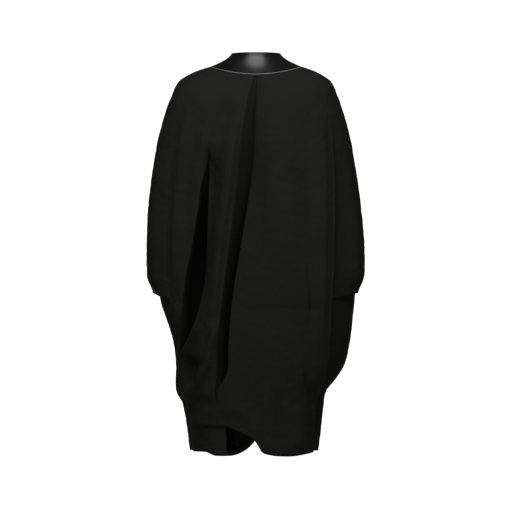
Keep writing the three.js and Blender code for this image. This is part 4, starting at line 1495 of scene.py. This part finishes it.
snap_paint, snap_tree, snap_shader = new_material("snap_paint")
snap_wear = noise_node(snap_tree, object_coordinates(snap_tree), SNAP_WEAR_SCALE, 4, 0.6)
for socket, value in (
    ("Base Color", ramp_node(
        snap_tree, snap_wear, [(0.4, (0.02, 0.02, 0.021)), (0.75, (0.07, 0.07, 0.072))],
    )),
    ("Metallic", 0.9),
    ("Roughness", maths(snap_tree, "ADD", 0.22, maths(snap_tree, "MULTIPLY", snap_wear, 0.2))),
):
    set_input(snap_tree, snap_shader, socket, value)
for number in (1, 2):
    for kind in ("cap", "socket", "stud", "post"):
        bpy.data.objects[f"snap_{kind}_{number}"].material_slots[0].material = snap_paint

# ------------------------------------------------------------------ studio


def look_at(thing, target):
    direction = Vector(target) - thing.location
    thing.rotation_euler = direction.to_track_quat("-Z", "Y").to_euler()


def softbox(name, place, size, power):
    data = bpy.data.lights.new(name, "AREA")
    data.shape = "RECTANGLE"
    data.size, data.size_y = size
    data.energy = power
    lamp = bpy.data.objects.new(name, data)
    bpy.context.scene.collection.objects.link(lamp)
    lamp.location = place
    look_at(lamp, LIGHT_TARGET)


paper, paper_tree, paper_shader = new_material("paper")
# the paper glows only behind the object, so that it lies white in the picture and lights nothing
paper_y = add_node(paper_tree, "SeparateXYZ", vector=object_coordinates(paper_tree)).outputs["Y"]
paper_glow = add_node(
    paper_tree, "MapRange", value=paper_y, from_min=GLOW_FROM_Y, from_max=GLOW_TO_Y, to_min=0.0,
    to_max=PAPER_GLOW,
).outputs["Result"]
for socket, value in (
    ("Base Color", (0.7, 0.7, 0.7, 1)), ("Roughness", 0.9), ("Emission Color", (1, 1, 1, 1)),
    ("Emission Strength", paper_glow),
):
    set_input(paper_tree, paper_shader, socket, value)


def paper_sheet(name, corners):
    mesh = bpy.data.meshes.new(name)
    mesh.from_pydata(corners, [], [(0, 1, 2, 3)])
    sheet = new_object(name, mesh)
    cover([sheet], paper)


floor_z = cad_box[0][2] - FLOOR_DROP
paper_sheet("floor", [
    (-FLOOR_REACH, -FLOOR_REACH, floor_z), (FLOOR_REACH, -FLOOR_REACH, floor_z),
    (FLOOR_REACH, BACKDROP_Y, floor_z), (-FLOOR_REACH, BACKDROP_Y, floor_z),
])
paper_sheet("backdrop", [
    (-BACKDROP_HALF, BACKDROP_Y, floor_z), (BACKDROP_HALF, BACKDROP_Y, floor_z),
    (BACKDROP_HALF, BACKDROP_Y, BACKDROP_TOP), (-BACKDROP_HALF, BACKDROP_Y, BACKDROP_TOP),
])

world = bpy.data.worlds.new("studio")
bpy.context.scene.world = world
world.use_nodes = True
world.node_tree.nodes["Background"].inputs["Color"].default_value = (1, 1, 1, 1)
world.node_tree.nodes["Background"].inputs["Strength"].default_value = WORLD_LIGHT

softbox("key_softbox", KEY_PLACE, KEY_SIZE, KEY_POWER)
softbox("fill_panel", FILL_PLACE, FILL_SIZE, FILL_POWER)

camera = bpy.data.objects.new("camera", bpy.data.cameras.new("camera"))
bpy.context.scene.collection.objects.link(camera)
camera.data.lens = CAMERA_LENS
camera.data.sensor_width = CAMERA_SENSOR
camera.location = (0, -CAMERA_DISTANCE, CAMERA_HEIGHT)
look_at(camera, (0, 0, CAMERA_HEIGHT))
bpy.context.scene.camera = camera
bpy.context.scene.view_settings.view_transform = "Standard"
